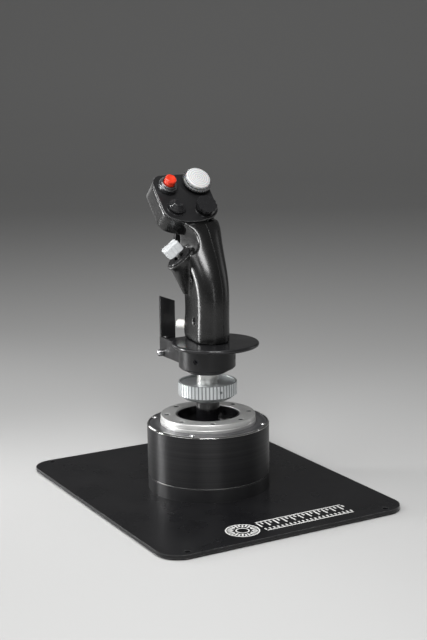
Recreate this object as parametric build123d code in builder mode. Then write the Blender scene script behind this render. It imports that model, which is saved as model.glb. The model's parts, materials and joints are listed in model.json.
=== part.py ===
"""Flight joystick: a grip on a two-axis gimbal, on a round metal base and a flat plate.

The origin is under the middle of the round base, on the surface that the feet stand on.
+X is the pilot's right, +Y is forward, away from the pilot, and +Z is up. Millimetres.
"""
import os
from math import cos, radians, sin, sqrt

from build123d import *

os.makedirs("parts", exist_ok=True)

# ---- clearances ----
screw_gap = 0.1
press_gap = 0.02
running_gap = 0.05
open_gap = 0.3

# ---- plate and feet ----
foot_height = 1.5
foot_radius = 10.0
foot_inset_x = 42.0
foot_inset_y = 26.0
plate_width = 230.0
plate_length = 283.0
plate_thickness = 3.0
plate_corner = 20.0
corner_hole_radius = 2.6
corner_hole_inset_x = 20.5
corner_hole_inset_y = 6.5
plate_top = foot_height + plate_thickness

# ---- round base ----
base_radius = 54.0
wall = 7.0
casting_height = 11.7
casting_floor = 4.0
band_height = 1.0
band_inset = 1.1
housing_height = 58.5
rim_chamfer = 1.0
rim_land = 0.8
disc_recess = 4.0
disc_below_rim = 0.6
disc_hub_depth = 5.0
ring_radius = 42.4
ring_height = 7.8
ring_groove = 0.5
ring_chamfer = 0.6
cup_radius = 28.0
cup_throat_radius = 21.2
cup_below_disc = 10.3
cup_lip_drop = 0.4
casting_top = plate_top + casting_height
tube_bottom = casting_top + band_height
rim_top = plate_top + housing_height
disc_top = rim_top - disc_below_rim
ring_top = disc_top + ring_height
inner_radius = base_radius - wall
recess_radius = base_radius - rim_chamfer - rim_land

# ---- fasteners of the base ----
plate_screw_radius = 2.5
plate_screw_circle = 38.0
plate_screw_head = 4.6
plate_screw_head_height = 2.1
tube_screw_radius = 1.5
tube_screw_circle = 50.5
tube_screw_angle = 20.0
tube_screw_head = 2.8
tube_screw_sink = 3.5
top_screw_radius = 1.5
top_screw_circle = 49.7
top_screw_head = 2.5
ring_screw_radius = 1.5
ring_screw_circle = 36.5
ring_screw_head = 2.4
ring_screw_sink = 2.8
yoke_screw_circle = 25.5

# ---- gimbal ----
pivot_above_plate = 32.0
dome_radius = 26.0
dome_wall = 1.8
dome_edge_angle = 78.0
flare_angle = 33.0
flare_top = 31.0
gimbal_inner = 9.5
gimbal_outer = 13.0
gimbal_height = 9.0
upright_inner = 18.0
upright_outer = 22.0
upright_width = 10.0
upright_above_pivot = 5.5
yoke_radius = 30.0
yoke_thickness = 4.0
pin_radius = 2.0
bush_wall = 1.0
hub_radius = 6.0
hub_half = 7.0
stem_radius = 3.5
stem_length = 15.0
shaft_radius = 8.0
spring_wire = 1.0
spring_radius = 4.4
spring_turns = 2.25
magnet_radius = 3.0
magnet_height = 3.0
magnet_drop = 18.0
board_thickness = 1.6
board_length = 40.0
board_width = 30.0
board_gap = 1.2
pivot_z = plate_top + pivot_above_plate
yoke_top = plate_top + casting_floor + yoke_thickness

# ---- neck, connector and nut ----
neck_radius = 10.4
thread_radius = 14.0
thread_height = 5.0
thread_above_plate = 84.0
flange_height = 2.3
nut_radius = 25.9
nut_foot_radius = 20.5
nut_bottom_above_plate = 80.0
nut_side_above_plate = 83.5
nut_top_above_plate = 95.3
nut_ribs = 50
nut_rib_depth = 0.5
nut_groove_width = 1.1
nut_recess = 1.6
nut_rim = 1.8
nut_hole_radius = 1.3
nut_hole_depth = 4.0
nut_hole_angle = -92.0
washer_thickness = 0.8
grip_neck_radius = 9.4
grip_neck_length = 26.0
connector_radius = 6.2
connector_length = 7.0
thread_bottom = plate_top + thread_above_plate
thread_top = thread_bottom + thread_height
nut_bottom = plate_top + nut_bottom_above_plate
nut_side = plate_top + nut_side_above_plate
nut_top = plate_top + nut_top_above_plate
washer_bottom = thread_top + flange_height + running_gap

# ---- lower housing, bracket, hand rest and paddle ----
housing_radius = 25.0
housing_wall = 3.0
collar_bottom = plate_top + 103.0
collar_foot_radius = 16.0
collar_radius = 18.8
housing_bottom = plate_top + 107.0
rest_bottom = plate_top + 128.0
rest_thickness = 3.5
rest_radius = 38.0
rest_x = 3.0
rest_y = -10.0
bracket_half_width = 20.0
bracket_ear = 3.0
bracket_front = 41.0
bracket_ear_front = 52.0
bracket_bottom = plate_top + 110.6
bracket_top = plate_top + 127.4
paddle_pivot_y = 46.5
paddle_pivot_z = plate_top + 114.0
paddle_pin_radius = 2.0
paddle_top = plate_top + 166.2
paddle_slope = 6.0
paddle_left = -22.4
paddle_right = -7.8
paddle_y = 44.0
paddle_bow = 1.2
paddle_thickness = 2.6
handle_bottom = rest_bottom + rest_thickness

# ---- handle and head ----
shell_wall = 3.0
seam_x = 3.0
face_tilt = 47.0
face_y = 7.4
face_z = plate_top + 235.3
head_centre_x = -4.4
head_half_width = 26.4
head_length = 52.0
head_depth = 20.0
head_corner = 10.0
head_shoulder = 11.6
head_sweep = 45.0
face_plate_thickness = 2.0
thumb_radius = 14.2
thumb_x = -22.4
thumb_z = plate_top + 221.0
boss_radius = 14.0
boss_x = -20.3
boss_y = 10.0
boss_z = plate_top + 204.8
boss_foot_radius = 3.5
boss_foot_x = -12.0
boss_foot_y = 12.0
boss_foot_z = plate_top + 172.0
shell_screw_y = -2.4
shell_screw_z = (plate_top + 150.0, plate_top + 188.0)
shell_screw_radius = 1.5
shell_screw_head = 2.6
shell_screw_head_height = 2.2
shell_screw_seat_x = -10.0
shell_screw_length = 16.0
shell_boss_radius = 4.0
grip_bolt_x = 8.0
grip_bolt_y = 2.0
grip_bolt_radius = 2.0
grip_bolt_head = 3.6
grip_boss_radius = 4.6
grip_boss_height = 14.0

# height above the plate, half width, rear, depth of the round rear, and then at the front
# the half width of the edges, where the edges are and where the front's middle is
handle_sections = [
    (131.5, 15.2, -24.2, 15.2, 11.0, 19.4, 24.0),
    (152.0, 15.0, -24.8, 15.0, 11.0, 19.9, 24.5),
    (172.0, 15.2, -25.0, 15.2, 11.0, 20.4, 25.0),
    (192.0, 16.6, -20.5, 16.3, 12.5, 22.0, 27.0),
    (210.0, 19.7, -11.0, 18.3, 15.0, 25.0, 30.0),
    (222.0, 22.6, -3.8, 17.2, 18.2, 29.0, 34.0),
    (234.0, 23.6, 5.4, 15.8, 19.4, 33.0, 38.0),
]


# ---- shared shapes ----
def side_plane(plane):
    """The plane through a turned piece's axis: x is the radius and y the height."""
    return Plane(plane.origin, x_dir=plane.x_dir, z_dir=-plane.y_dir)


def turned(plane, outline):
    """A solid turned about the plane's normal from (radius, height) corners."""
    with BuildPart() as piece:
        with BuildSketch(side_plane(plane)):
            with BuildLine():
                Polyline(*outline, close=True)
            make_face()
        revolve(axis=Axis(plane.origin, plane.z_dir))
    return piece.part


def ring_of(plane, outer, inner, low, high):
    """A plain ring or bush between two heights on the plane's normal."""
    return turned(plane, [(inner, low), (outer, low), (outer, high), (inner, high)])


def rod(plane, radius, low, high):
    """A plain round bar along the plane's normal."""
    return turned(plane, [(0, low), (radius, low), (radius, high), (0, high)])


def screw(plane, radius, length, head, head_height, socket):
    """A socket screw: its seat is on the plane and its shank runs against the normal."""
    edge = 0.15 * head_height
    outline = [(0, -length), (radius, -length), (radius, 0), (head, 0)]
    outline += [(head, head_height - edge), (head - edge, head_height), (0, head_height)]
    with BuildPart() as piece:
        add(turned(plane, outline))
        with BuildSketch(plane.offset(head_height)):
            RegularPolygon(socket, 6)
        extrude(amount=-0.6 * head_height, mode=Mode.SUBTRACT)
    return piece.part


def torsion_spring(plane, radius, wire, turns, length):
    """A coil spring about the plane's normal that starts at the plane."""
    with BuildPart() as coil:
        with BuildLine() as path:
            Helix(pitch=length / turns, height=length, radius=radius)
        with BuildSketch(Plane(path.line @ 0, z_dir=path.line % 0)):
            Circle(wire / 2)
        sweep(is_frenet=True)
    return plane.location * coil.part


def on_face(x, v, lift=0.0):
    """A plane on the tilted face of the head, at x across and v up the face."""
    across = face_plane.x_dir * x
    up = face_plane.y_dir * v
    out = face_plane.z_dir * lift
    return Plane(face_plane.origin + across + up + out, x_dir=face_plane.x_dir, z_dir=face_plane.z_dir)


def about_x(x, y, z):
    """A plane whose normal is +X."""
    return Plane((x, y, z), x_dir=(0, 1, 0), z_dir=(1, 0, 0))


def about_y(x, y, z):
    """A plane whose normal is +Y."""
    return Plane((x, y, z), x_dir=(1, 0, 0), z_dir=(0, 1, 0))


face_plane = Plane(
    (0, face_y, face_z), x_dir=(1, 0, 0), z_dir=(0, -sin(radians(face_tilt)), cos(radians(face_tilt)))
)

# ---- base plate, its feet and screws ----
with BuildPart() as base_plate:
    with BuildSketch(Plane.XY.offset(foot_height)):
        RectangleRounded(plate_width, plate_length, plate_corner)
        with GridLocations(
            plate_width - 2 * corner_hole_inset_x, plate_length - 2 * corner_hole_inset_y, 2, 2
        ):
            Circle(corner_hole_radius, mode=Mode.SUBTRACT)
        with PolarLocations(plate_screw_circle, 4, 45):
            Circle(plate_screw_radius + screw_gap, mode=Mode.SUBTRACT)
    extrude(amount=plate_thickness)
    sink = plate_screw_head_height + screw_gap
    countersink = turned(
        Plane.XY.offset(foot_height),
        [(0, 0), (plate_screw_head + screw_gap, 0), (plate_screw_radius + screw_gap, sink), (0, sink)],
    )
    with PolarLocations(plate_screw_circle, 4, 45):
        add(countersink, mode=Mode.SUBTRACT)
base_plate.part.label = "base_plate"
export_step(base_plate.part, "parts/base_plate.step")

with BuildPart() as rubber_feet:
    with BuildSketch(Plane.XY):
        with GridLocations(plate_width - 2 * foot_inset_x, plate_length - 2 * foot_inset_y, 2, 2):
            Circle(foot_radius)
    extrude(amount=foot_height)
rubber_feet.part.label = "rubber_feet"
export_step(rubber_feet.part, "parts/rubber_feet.step")

plate_screw_length = plate_thickness + 0.7 * casting_floor
plate_screw = turned(
    Plane.XY.offset(foot_height),
    [
        (0, 0.2),
        (plate_screw_head - 0.2, 0.2),
        (plate_screw_radius, plate_screw_head_height),
        (plate_screw_radius, plate_screw_length),
        (0, plate_screw_length),
    ],
)

# ---- round base: casting, band, tube and top disc ----
gland_z = plate_top + 0.55 * casting_height
gland_radius = 3.0
with BuildPart() as base_casting:
    add(
        turned(
            Plane.XY,
            [
                (0, plate_top),
                (base_radius, plate_top),
                (base_radius, casting_top),
                (inner_radius, casting_top),
                (inner_radius, plate_top + casting_floor),
                (0, plate_top + casting_floor),
            ],
        )
    )
    with BuildSketch(Plane.XY.offset(plate_top)):
        with PolarLocations(plate_screw_circle, 4, 45):
            Circle(plate_screw_radius + screw_gap)
        with PolarLocations(yoke_screw_circle, 4, 45):
            Circle(tube_screw_radius + screw_gap)
    extrude(amount=casting_floor, mode=Mode.SUBTRACT)
    with BuildSketch(Plane.XY.offset(plate_top)):
        with PolarLocations(tube_screw_circle, 4, tube_screw_angle):
            Circle(tube_screw_radius + screw_gap)
    extrude(amount=casting_height, mode=Mode.SUBTRACT)
    with BuildSketch(Plane.XY.offset(plate_top)):
        with PolarLocations(tube_screw_circle, 4, tube_screw_angle):
            Circle(tube_screw_head + screw_gap)
    extrude(amount=tube_screw_sink, mode=Mode.SUBTRACT)
    add(
        rod(about_y(0, 0, gland_z), gland_radius + screw_gap, inner_radius - wall, base_radius + wall),
        mode=Mode.SUBTRACT,
    )
base_casting.part.label = "base_casting"
export_step(base_casting.part, "parts/base_casting.step")

with BuildPart() as cable_inlet:
    add(
        turned(
            about_y(0, 0, gland_z),
            [
                (0.6 * gland_radius, inner_radius - 1),
                (gland_radius, inner_radius - 1),
                (gland_radius, base_radius + open_gap),
                (1.6 * gland_radius, base_radius + open_gap),
                (1.6 * gland_radius, base_radius + 1.5),
                (1.2 * gland_radius, base_radius + 4),
                (0.6 * gland_radius, base_radius + 4),
            ],
        )
    )
cable_inlet.part.label = "cable_inlet"
export_step(cable_inlet.part, "parts/cable_inlet.step")

with BuildPart() as base_band:
    with BuildSketch(Plane.XY.offset(casting_top)):
        Circle(base_radius - band_inset)
        Circle(inner_radius, mode=Mode.SUBTRACT)
        with PolarLocations(tube_screw_circle, 4, tube_screw_angle):
            Circle(tube_screw_radius + screw_gap, mode=Mode.SUBTRACT)
    extrude(amount=band_height)
base_band.part.label = "base_band"
export_step(base_band.part, "parts/base_band.step")

tube_screw_grip = 8.0
shoulder_z = rim_top - disc_recess
with BuildPart() as housing_tube:
    add(
        turned(
            Plane.XY,
            [
                (inner_radius, tube_bottom),
                (base_radius, tube_bottom),
                (base_radius, rim_top - rim_chamfer),
                (base_radius - rim_chamfer, rim_top),
                (recess_radius, rim_top),
                (recess_radius, shoulder_z),
                (inner_radius, shoulder_z),
            ],
        )
    )
    with BuildSketch(Plane.XY.offset(tube_bottom)):
        with PolarLocations(tube_screw_circle, 4, tube_screw_angle):
            Circle(tube_screw_radius + screw_gap)
    extrude(amount=tube_screw_grip + 1, mode=Mode.SUBTRACT)
    with BuildSketch(Plane.XY.offset(shoulder_z)):
        with PolarLocations(top_screw_circle, 4, 45):
            Circle(top_screw_radius + screw_gap)
    extrude(amount=-tube_screw_grip, mode=Mode.SUBTRACT)
housing_tube.part.label = "housing_tube"
export_step(housing_tube.part, "parts/housing_tube.step")

tube_screw = turned(
    Plane.XY.offset(plate_top),
    [
        (0, 0.5),
        (tube_screw_head, 0.5),
        (tube_screw_head, tube_screw_sink),
        (tube_screw_radius, tube_screw_sink),
        (tube_screw_radius, casting_height + band_height + tube_screw_grip),
        (0, casting_height + band_height + tube_screw_grip),
    ],
)

disc_radius = recess_radius - open_gap
disc_hole_radius = cup_radius - 1.4
ring_screw_length = ring_height - ring_screw_sink + 5.0
with BuildPart() as top_disc:
    add(
        turned(
            Plane.XY,
            [
                (disc_hole_radius, shoulder_z - disc_hub_depth),
                (inner_radius - open_gap, shoulder_z - disc_hub_depth),
                (inner_radius - open_gap, shoulder_z),
                (disc_radius, shoulder_z),
                (disc_radius, disc_top),
                (disc_hole_radius, disc_top),
            ],
        )
    )
    with BuildSketch(Plane.XY.offset(disc_top)):
        with PolarLocations(top_screw_circle, 4, 45):
            Circle(top_screw_radius + screw_gap)
    extrude(amount=-(disc_top - shoulder_z), mode=Mode.SUBTRACT)
    with BuildSketch(Plane.XY.offset(disc_top)):
        with PolarLocations(ring_screw_circle, 8, 22.5):
            Circle(ring_screw_radius + screw_gap)
    extrude(amount=-(ring_screw_length - ring_height + ring_screw_sink + 1), mode=Mode.SUBTRACT)
top_disc.part.label = "top_disc"
export_step(top_disc.part, "parts/top_disc.step")

top_screw_head_height = 1.5
top_screw = turned(
    Plane.XY.offset(disc_top),
    [
        (0, -(disc_top - shoulder_z) - 0.8 * tube_screw_grip),
        (top_screw_radius, -(disc_top - shoulder_z) - 0.8 * tube_screw_grip),
        (top_screw_radius, 0),
        (top_screw_head - 0.2, 0),
        (top_screw_head, 0.4 * top_screw_head_height),
        (0.75 * top_screw_head, 0.9 * top_screw_head_height),
        (0.5 * top_screw_head, top_screw_head_height),
        (0, top_screw_head_height),
    ],
)
with BuildPart() as top_disc_screws:
    with PolarLocations(top_screw_circle, 4, 45):
        add(top_screw)
    with BuildSketch(Plane.XY.offset(disc_top + top_screw_head_height)):
        with PolarLocations(top_screw_circle, 4, 45):
            RegularPolygon(0.4 * top_screw_head, 6)
    extrude(amount=-0.6 * top_screw_head_height, mode=Mode.SUBTRACT)
top_disc_screws.part.label = "top_disc_screws"
export_step(top_disc_screws.part, "parts/top_disc_screws.step")

# ---- clamp ring, its screws and the dust cup ----
groove_z = disc_top + 0.35 * ring_height
with BuildPart() as clamp_ring:
    add(
        turned(
            Plane.XY,
            [
                (cup_radius + open_gap, disc_top),
                (ring_radius, disc_top),
                (ring_radius, groove_z),
                (ring_radius - ring_groove, groove_z),
                (ring_radius - ring_groove, ring_top - ring_chamfer),
                (ring_radius - ring_groove - ring_chamfer, ring_top),
                (cup_radius + open_gap + ring_chamfer, ring_top),
                (cup_radius + open_gap, ring_top - ring_chamfer),
            ],
        )
    )
    with BuildSketch(Plane.XY.offset(ring_top)):
        with PolarLocations(ring_screw_circle, 8, 22.5):
            Circle(ring_screw_radius + screw_gap)
    extrude(amount=-ring_height, mode=Mode.SUBTRACT)
    with BuildSketch(Plane.XY.offset(ring_top)):
        with PolarLocations(ring_screw_circle, 8, 22.5):
            Circle(ring_screw_head + screw_gap)
    extrude(amount=-ring_screw_sink, mode=Mode.SUBTRACT)
clamp_ring.part.label = "clamp_ring"
export_step(clamp_ring.part, "parts/clamp_ring.step")

ring_screw = screw(
    Plane.XY.offset(ring_top - ring_screw_sink),
    ring_screw_radius,
    ring_screw_length,
    ring_screw_head,
    ring_screw_sink - 0.3,
    0.5 * ring_screw_head,
)
with BuildPart() as clamp_ring_screws:
    with PolarLocations(ring_screw_circle, 8, 22.5):
        add(ring_screw)
clamp_ring_screws.part.label = "clamp_ring_screws"
export_step(clamp_ring_screws.part, "parts/clamp_ring_screws.step")

cup_top = ring_top - cup_lip_drop
throat_z = disc_top - cup_below_disc
cup_wall = 1.6
with BuildPart() as dust_cup:
    with BuildSketch(side_plane(Plane.XY)):
        with BuildLine():
            Polyline((cup_radius, disc_top), (cup_radius, cup_top - 0.6), (cup_radius - 0.6, cup_top))
            Line((cup_radius - 0.6, cup_top), (cup_radius - 1.4, cup_top - 0.3))
            ThreePointArc(
                (cup_radius - 1.4, cup_top - 0.3),
                (0.5 * (cup_radius + cup_throat_radius) + 0.6, throat_z + 7.6),
                (cup_throat_radius, throat_z + 0.5),
            )
            Line((cup_throat_radius, throat_z + 0.5), (cup_throat_radius + 0.4, throat_z))
            Line((cup_throat_radius + 0.4, throat_z), (cup_throat_radius + cup_wall, throat_z + 1))
            ThreePointArc(
                (cup_throat_radius + cup_wall, throat_z + 1),
                (0.5 * (disc_hole_radius + cup_throat_radius + cup_wall) + 0.3, throat_z + 5),
                (disc_hole_radius - open_gap, disc_top),
            )
            Line((disc_hole_radius - open_gap, disc_top), (cup_radius, disc_top))
        make_face()
    revolve(axis=Axis.Z)
dust_cup.part.label = "dust_cup"
export_step(dust_cup.part, "parts/dust_cup.step")

# ---- gimbal: yoke, bushes, ring, pins and springs ----
bush_radius = pin_radius + running_gap + bush_wall
upright_height = pivot_z + upright_above_pivot - yoke_top
roll_axis = about_y(0, 0, pivot_z)
pitch_axis = about_x(0, 0, pivot_z)
upright_middle = (upright_inner + upright_outer) / 2
yoke_screw_length = yoke_thickness + 0.6 * casting_floor
with BuildPart() as gimbal_yoke:
    add(rod(Plane.XY, yoke_radius, plate_top + casting_floor, yoke_top))
    with BuildSketch(Plane.XY.offset(yoke_top)):
        with Locations((0, upright_middle), (0, -upright_middle)):
            Rectangle(upright_width, upright_outer - upright_inner)
    extrude(amount=upright_height)
    with BuildSketch(Plane.XY.offset(yoke_top)):
        with GridLocations(board_length - 8, board_width - 8, 2, 2):
            Circle(2.5)
    extrude(amount=board_gap)
    add(rod(roll_axis, bush_radius + press_gap, -yoke_radius, yoke_radius), mode=Mode.SUBTRACT)
    with BuildSketch(Plane.XY.offset(yoke_top)):
        with PolarLocations(yoke_screw_circle, 4, 45):
            Circle(tube_screw_radius + screw_gap)
    extrude(amount=-yoke_thickness, mode=Mode.SUBTRACT)
gimbal_yoke.part.label = "gimbal_yoke"
export_step(gimbal_yoke.part, "parts/gimbal_yoke.step")

yoke_screw = screw(
    Plane.XY.offset(yoke_top), tube_screw_radius, yoke_screw_length, tube_screw_head, 2.0, 1.3
)
with BuildPart() as base_screws:
    with PolarLocations(plate_screw_circle, 4, 45):
        add(plate_screw)
    with PolarLocations(tube_screw_circle, 4, tube_screw_angle):
        add(tube_screw)
    with PolarLocations(yoke_screw_circle, 4, 45):
        add(yoke_screw)
base_screws.part.label = "base_screws"
export_step(base_screws.part, "parts/base_screws.step")

with BuildPart() as roll_bushes:
    add(ring_of(roll_axis, bush_radius, pin_radius + running_gap, upright_inner, upright_outer))
    add(ring_of(roll_axis, bush_radius, pin_radius + running_gap, -upright_outer, -upright_inner))
roll_bushes.part.label = "roll_bushes"
export_step(roll_bushes.part, "parts/roll_bushes.step")

with BuildPart() as gimbal_ring:
    with BuildSketch(Plane.XY.offset(pivot_z - gimbal_height / 2)):
        Circle(gimbal_outer)
        Circle(gimbal_inner, mode=Mode.SUBTRACT)
    extrude(amount=gimbal_height)
    add(rod(roll_axis, pin_radius + press_gap, -gimbal_outer, gimbal_outer), mode=Mode.SUBTRACT)
    add(rod(pitch_axis, pin_radius + press_gap, -gimbal_outer, gimbal_outer), mode=Mode.SUBTRACT)
gimbal_ring.part.label = "gimbal_ring"
export_step(gimbal_ring.part, "parts/gimbal_ring.step")

pitch_pin_end = gimbal_outer - 0.4
pitch_pin_start = 0.4 * hub_radius
with BuildPart() as gimbal_pins:
    add(rod(roll_axis, pin_radius, gimbal_inner + 0.2, upright_outer))
    add(rod(roll_axis, pin_radius, -upright_outer, -gimbal_inner - 0.2))
    add(rod(pitch_axis, pin_radius, pitch_pin_start, pitch_pin_end))
    add(rod(pitch_axis, pin_radius, -pitch_pin_end, -pitch_pin_start))
gimbal_pins.part.label = "gimbal_pins"
export_step(gimbal_pins.part, "parts/gimbal_pins.step")

with BuildPart() as pitch_bushes:
    add(ring_of(pitch_axis, bush_radius, pin_radius + running_gap, pitch_pin_start, hub_radius - 0.3))
    add(ring_of(pitch_axis, bush_radius, pin_radius + running_gap, 0.3 - hub_radius, -pitch_pin_start))
pitch_bushes.part.label = "pitch_bushes"
export_step(pitch_bushes.part, "parts/pitch_bushes.step")

roll_spring_room = upright_inner - gimbal_outer - spring_wire - 2 * open_gap
roll_spring_start = gimbal_outer + spring_wire / 2 + open_gap
pitch_spring_radius = spring_radius - 1.0
pitch_spring_wire = 0.8 * spring_wire
ring_reach = sqrt(gimbal_inner**2 - (pitch_spring_radius + pitch_spring_wire / 2) ** 2)
pitch_spring_room = ring_reach - hub_radius - pitch_spring_wire - 1.5 * open_gap
pitch_spring_start = hub_radius + pitch_spring_wire / 2 + 0.5 * open_gap
with BuildPart() as roll_springs:
    spring_place = roll_axis.offset(roll_spring_start)
    add(torsion_spring(spring_place, spring_radius, spring_wire, spring_turns, roll_spring_room))
    add(
        torsion_spring(
            roll_axis.offset(-roll_spring_start - roll_spring_room),
            spring_radius,
            spring_wire,
            spring_turns,
            roll_spring_room,
        )
    )
roll_springs.part.label = "roll_springs"
export_step(roll_springs.part, "parts/roll_springs.step")

with BuildPart() as pitch_springs:
    for start in (pitch_spring_start, -pitch_spring_start - pitch_spring_room):
        add(
            torsion_spring(
                pitch_axis.offset(start), pitch_spring_radius, pitch_spring_wire, 1.25, pitch_spring_room
            )
        )
pitch_springs.part.label = "pitch_springs"
export_step(pitch_springs.part, "parts/pitch_springs.step")

# ---- stick shaft, dome, magnet and sensor board ----
socket_depth = connector_length + 1.0
with BuildPart() as stick_shaft:
    add(
        turned(
            Plane.XY,
            [
                (0, pivot_z - stem_length),
                (stem_radius, pivot_z - stem_length),
                (stem_radius, pivot_z - hub_half),
                (hub_radius, pivot_z - hub_half),
                (hub_radius, pivot_z + hub_half),
                (shaft_radius, pivot_z + 2 * hub_half),
                (shaft_radius, thread_bottom),
                (thread_radius, thread_bottom),
                (thread_radius, thread_top),
                (connector_radius + press_gap, thread_top),
                (connector_radius + press_gap, thread_top - socket_depth),
                (0.5 * shaft_radius, thread_top - socket_depth),
                (0.5 * shaft_radius, pivot_z + 3 * hub_half),
                (0, pivot_z + 3 * hub_half),
            ],
        )
    )
    add(rod(pitch_axis, bush_radius + press_gap, -shaft_radius, shaft_radius), mode=Mode.SUBTRACT)
stick_shaft.part.label = "stick_shaft"
export_step(stick_shaft.part, "parts/stick_shaft.step")

dome_inner = dome_radius - dome_wall
edge = radians(dome_edge_angle)
flare = radians(flare_angle)
mid_out = radians((dome_edge_angle + flare_angle) / 2)
bore = shaft_radius + press_gap
bore_z = pivot_z + sqrt(dome_inner**2 - bore**2)
mid_in = radians(dome_edge_angle / 2 + 10)
flare_end = (dome_radius * sin(flare), pivot_z + dome_radius * cos(flare))
with BuildPart() as dust_dome:
    with BuildSketch(side_plane(Plane.XY)):
        with BuildLine():
            Polyline((bore, bore_z), (bore, thread_bottom), (neck_radius, thread_bottom))
            Line((neck_radius, thread_bottom), (neck_radius, pivot_z + flare_top))
            ThreePointArc(
                (neck_radius, pivot_z + flare_top),
                (neck_radius + 0.9, pivot_z + 0.5 * (flare_top + dome_radius * cos(flare)) - 0.9),
                flare_end,
            )
            ThreePointArc(
                flare_end,
                (dome_radius * sin(mid_out), pivot_z + dome_radius * cos(mid_out)),
                (dome_radius * sin(edge), pivot_z + dome_radius * cos(edge)),
            )
            Line(
                (dome_radius * sin(edge), pivot_z + dome_radius * cos(edge)),
                (dome_inner * sin(edge), pivot_z + dome_inner * cos(edge)),
            )
            ThreePointArc(
                (dome_inner * sin(edge), pivot_z + dome_inner * cos(edge)),
                (dome_inner * sin(mid_in), pivot_z + dome_inner * cos(mid_in)),
                (bore, bore_z),
            )
        make_face()
    revolve(axis=Axis.Z)
dust_dome.part.label = "dust_dome"
export_step(dust_dome.part, "parts/dust_dome.step")

holder_bottom = pivot_z - magnet_drop
holder_radius = magnet_radius + 2.5
holder_top = holder_bottom + magnet_height + 4.0
with BuildPart() as magnet_holder:
    add(
        turned(
            Plane.XY,
            [
                (magnet_radius + press_gap, holder_bottom),
                (holder_radius, holder_bottom),
                (holder_radius, holder_top),
                (stem_radius + press_gap, holder_top),
                (stem_radius + press_gap, holder_bottom + magnet_height),
                (magnet_radius + press_gap, holder_bottom + magnet_height),
            ],
        )
    )
magnet_holder.part.label = "magnet_holder"
export_step(magnet_holder.part, "parts/magnet_holder.step")

with BuildPart() as magnet:
    add(rod(Plane.XY, magnet_radius, holder_bottom, pivot_z - stem_length))
magnet.part.label = "magnet"
export_step(magnet.part, "parts/magnet.step")

board_z = yoke_top + board_gap
chip_height = 1.2
with BuildPart() as sensor_board:
    with BuildSketch(Plane.XY.offset(board_z)):
        Rectangle(board_length, board_width)
    extrude(amount=board_thickness)
    with BuildSketch(Plane.XY.offset(board_z + board_thickness)):
        Rectangle(6, 6)
        with Locations((13, 0), (-13, 4)):
            Rectangle(5, 8)
    extrude(amount=chip_height)
sensor_board.part.label = "sensor_board"
export_step(sensor_board.part, "parts/sensor_board.step")

# ---- locking nut, its washer and the connector ----
thread_fit = thread_radius + running_gap
lip_radius = grip_neck_radius + open_gap
lip_bottom = washer_bottom + washer_thickness + running_gap
with BuildPart() as locking_nut:
    with BuildSketch(Plane.XY.offset(nut_bottom)):
        Circle(nut_radius)
        with PolarLocations(nut_radius, nut_ribs):
            Rectangle(2 * nut_rib_depth, nut_groove_width, mode=Mode.SUBTRACT)
    extrude(amount=nut_top - nut_bottom)
    add(
        turned(
            Plane.XY,
            [
                (0, nut_bottom),
                (nut_foot_radius, nut_bottom),
                (nut_radius - nut_rib_depth, nut_side),
                (nut_radius + 0.1, nut_side + nut_rib_depth),
                (nut_radius + 0.1, nut_top - 0.6),
                (nut_radius - 0.6, nut_top),
                (0, nut_top),
            ],
        ),
        mode=Mode.INTERSECT,
    )
    add(
        turned(
            Plane.XY,
            [
                (0, nut_bottom),
                (thread_radius + 1.5, nut_bottom),
                (thread_radius + 1.5, thread_bottom - open_gap),
                (thread_fit, thread_bottom - open_gap + 1),
                (thread_fit, lip_bottom),
                (lip_radius, lip_bottom),
                (lip_radius, nut_top - nut_recess),
                (nut_radius - nut_rim - 0.8, nut_top - nut_recess),
                (nut_radius - nut_rim, nut_top - nut_recess + 0.8),
                (nut_radius - nut_rim, nut_top),
                (0, nut_top),
            ],
        ),
        mode=Mode.SUBTRACT,
    )
    # one blind hole in the side for a pin spanner
    out = (cos(radians(nut_hole_angle)), sin(radians(nut_hole_angle)), 0)
    spanner_hole = Plane((0, 0, (nut_side + nut_top) / 2), x_dir=(0, 0, 1), z_dir=out)
    add(
        rod(spanner_hole, nut_hole_radius, nut_radius - nut_hole_depth, nut_radius + 1),
        mode=Mode.SUBTRACT,
    )
locking_nut.part.label = "locking_nut"
export_step(locking_nut.part, "parts/locking_nut.step")

washer_radius = thread_radius - open_gap
with BuildPart() as nut_washer:
    add(ring_of(Plane.XY, washer_radius, lip_radius, washer_bottom, washer_bottom + washer_thickness))
nut_washer.part.label = "nut_washer"
export_step(nut_washer.part, "parts/nut_washer.step")

flange_radius = thread_radius - 0.4
grip_neck_top = thread_top + flange_height + grip_neck_length
with BuildPart() as grip_neck:
    add(
        turned(
            Plane.XY,
            [
                (connector_radius + press_gap, thread_top),
                (flange_radius, thread_top),
                (flange_radius, thread_top + flange_height),
                (grip_neck_radius, thread_top + flange_height),
                (grip_neck_radius, grip_neck_top),
                (connector_radius + press_gap, grip_neck_top),
            ],
        )
    )
grip_neck.part.label = "grip_neck"
export_step(grip_neck.part, "parts/grip_neck.step")

contact_radius = 0.6
contact_circle = 3.6
contact_depth = 4.0
with BuildPart() as connector_socket:
    add(rod(Plane.XY, connector_radius, thread_top - connector_length, thread_top))
    with BuildSketch(Plane.XY.offset(thread_top)):
        with PolarLocations(contact_circle, 5):
            Circle(contact_radius + screw_gap)
    extrude(amount=-contact_depth - 1, mode=Mode.SUBTRACT)
connector_socket.part.label = "connector_socket"
export_step(connector_socket.part, "parts/connector_socket.step")

with BuildPart() as connector_plug:
    add(rod(Plane.XY, connector_radius, thread_top, thread_top + connector_length))
    with BuildSketch(Plane.XY.offset(thread_top)):
        with PolarLocations(contact_circle, 5):
            Circle(contact_radius)
    extrude(amount=-contact_depth)
connector_plug.part.label = "connector_plug"
export_step(connector_plug.part, "parts/connector_plug.step")

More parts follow.
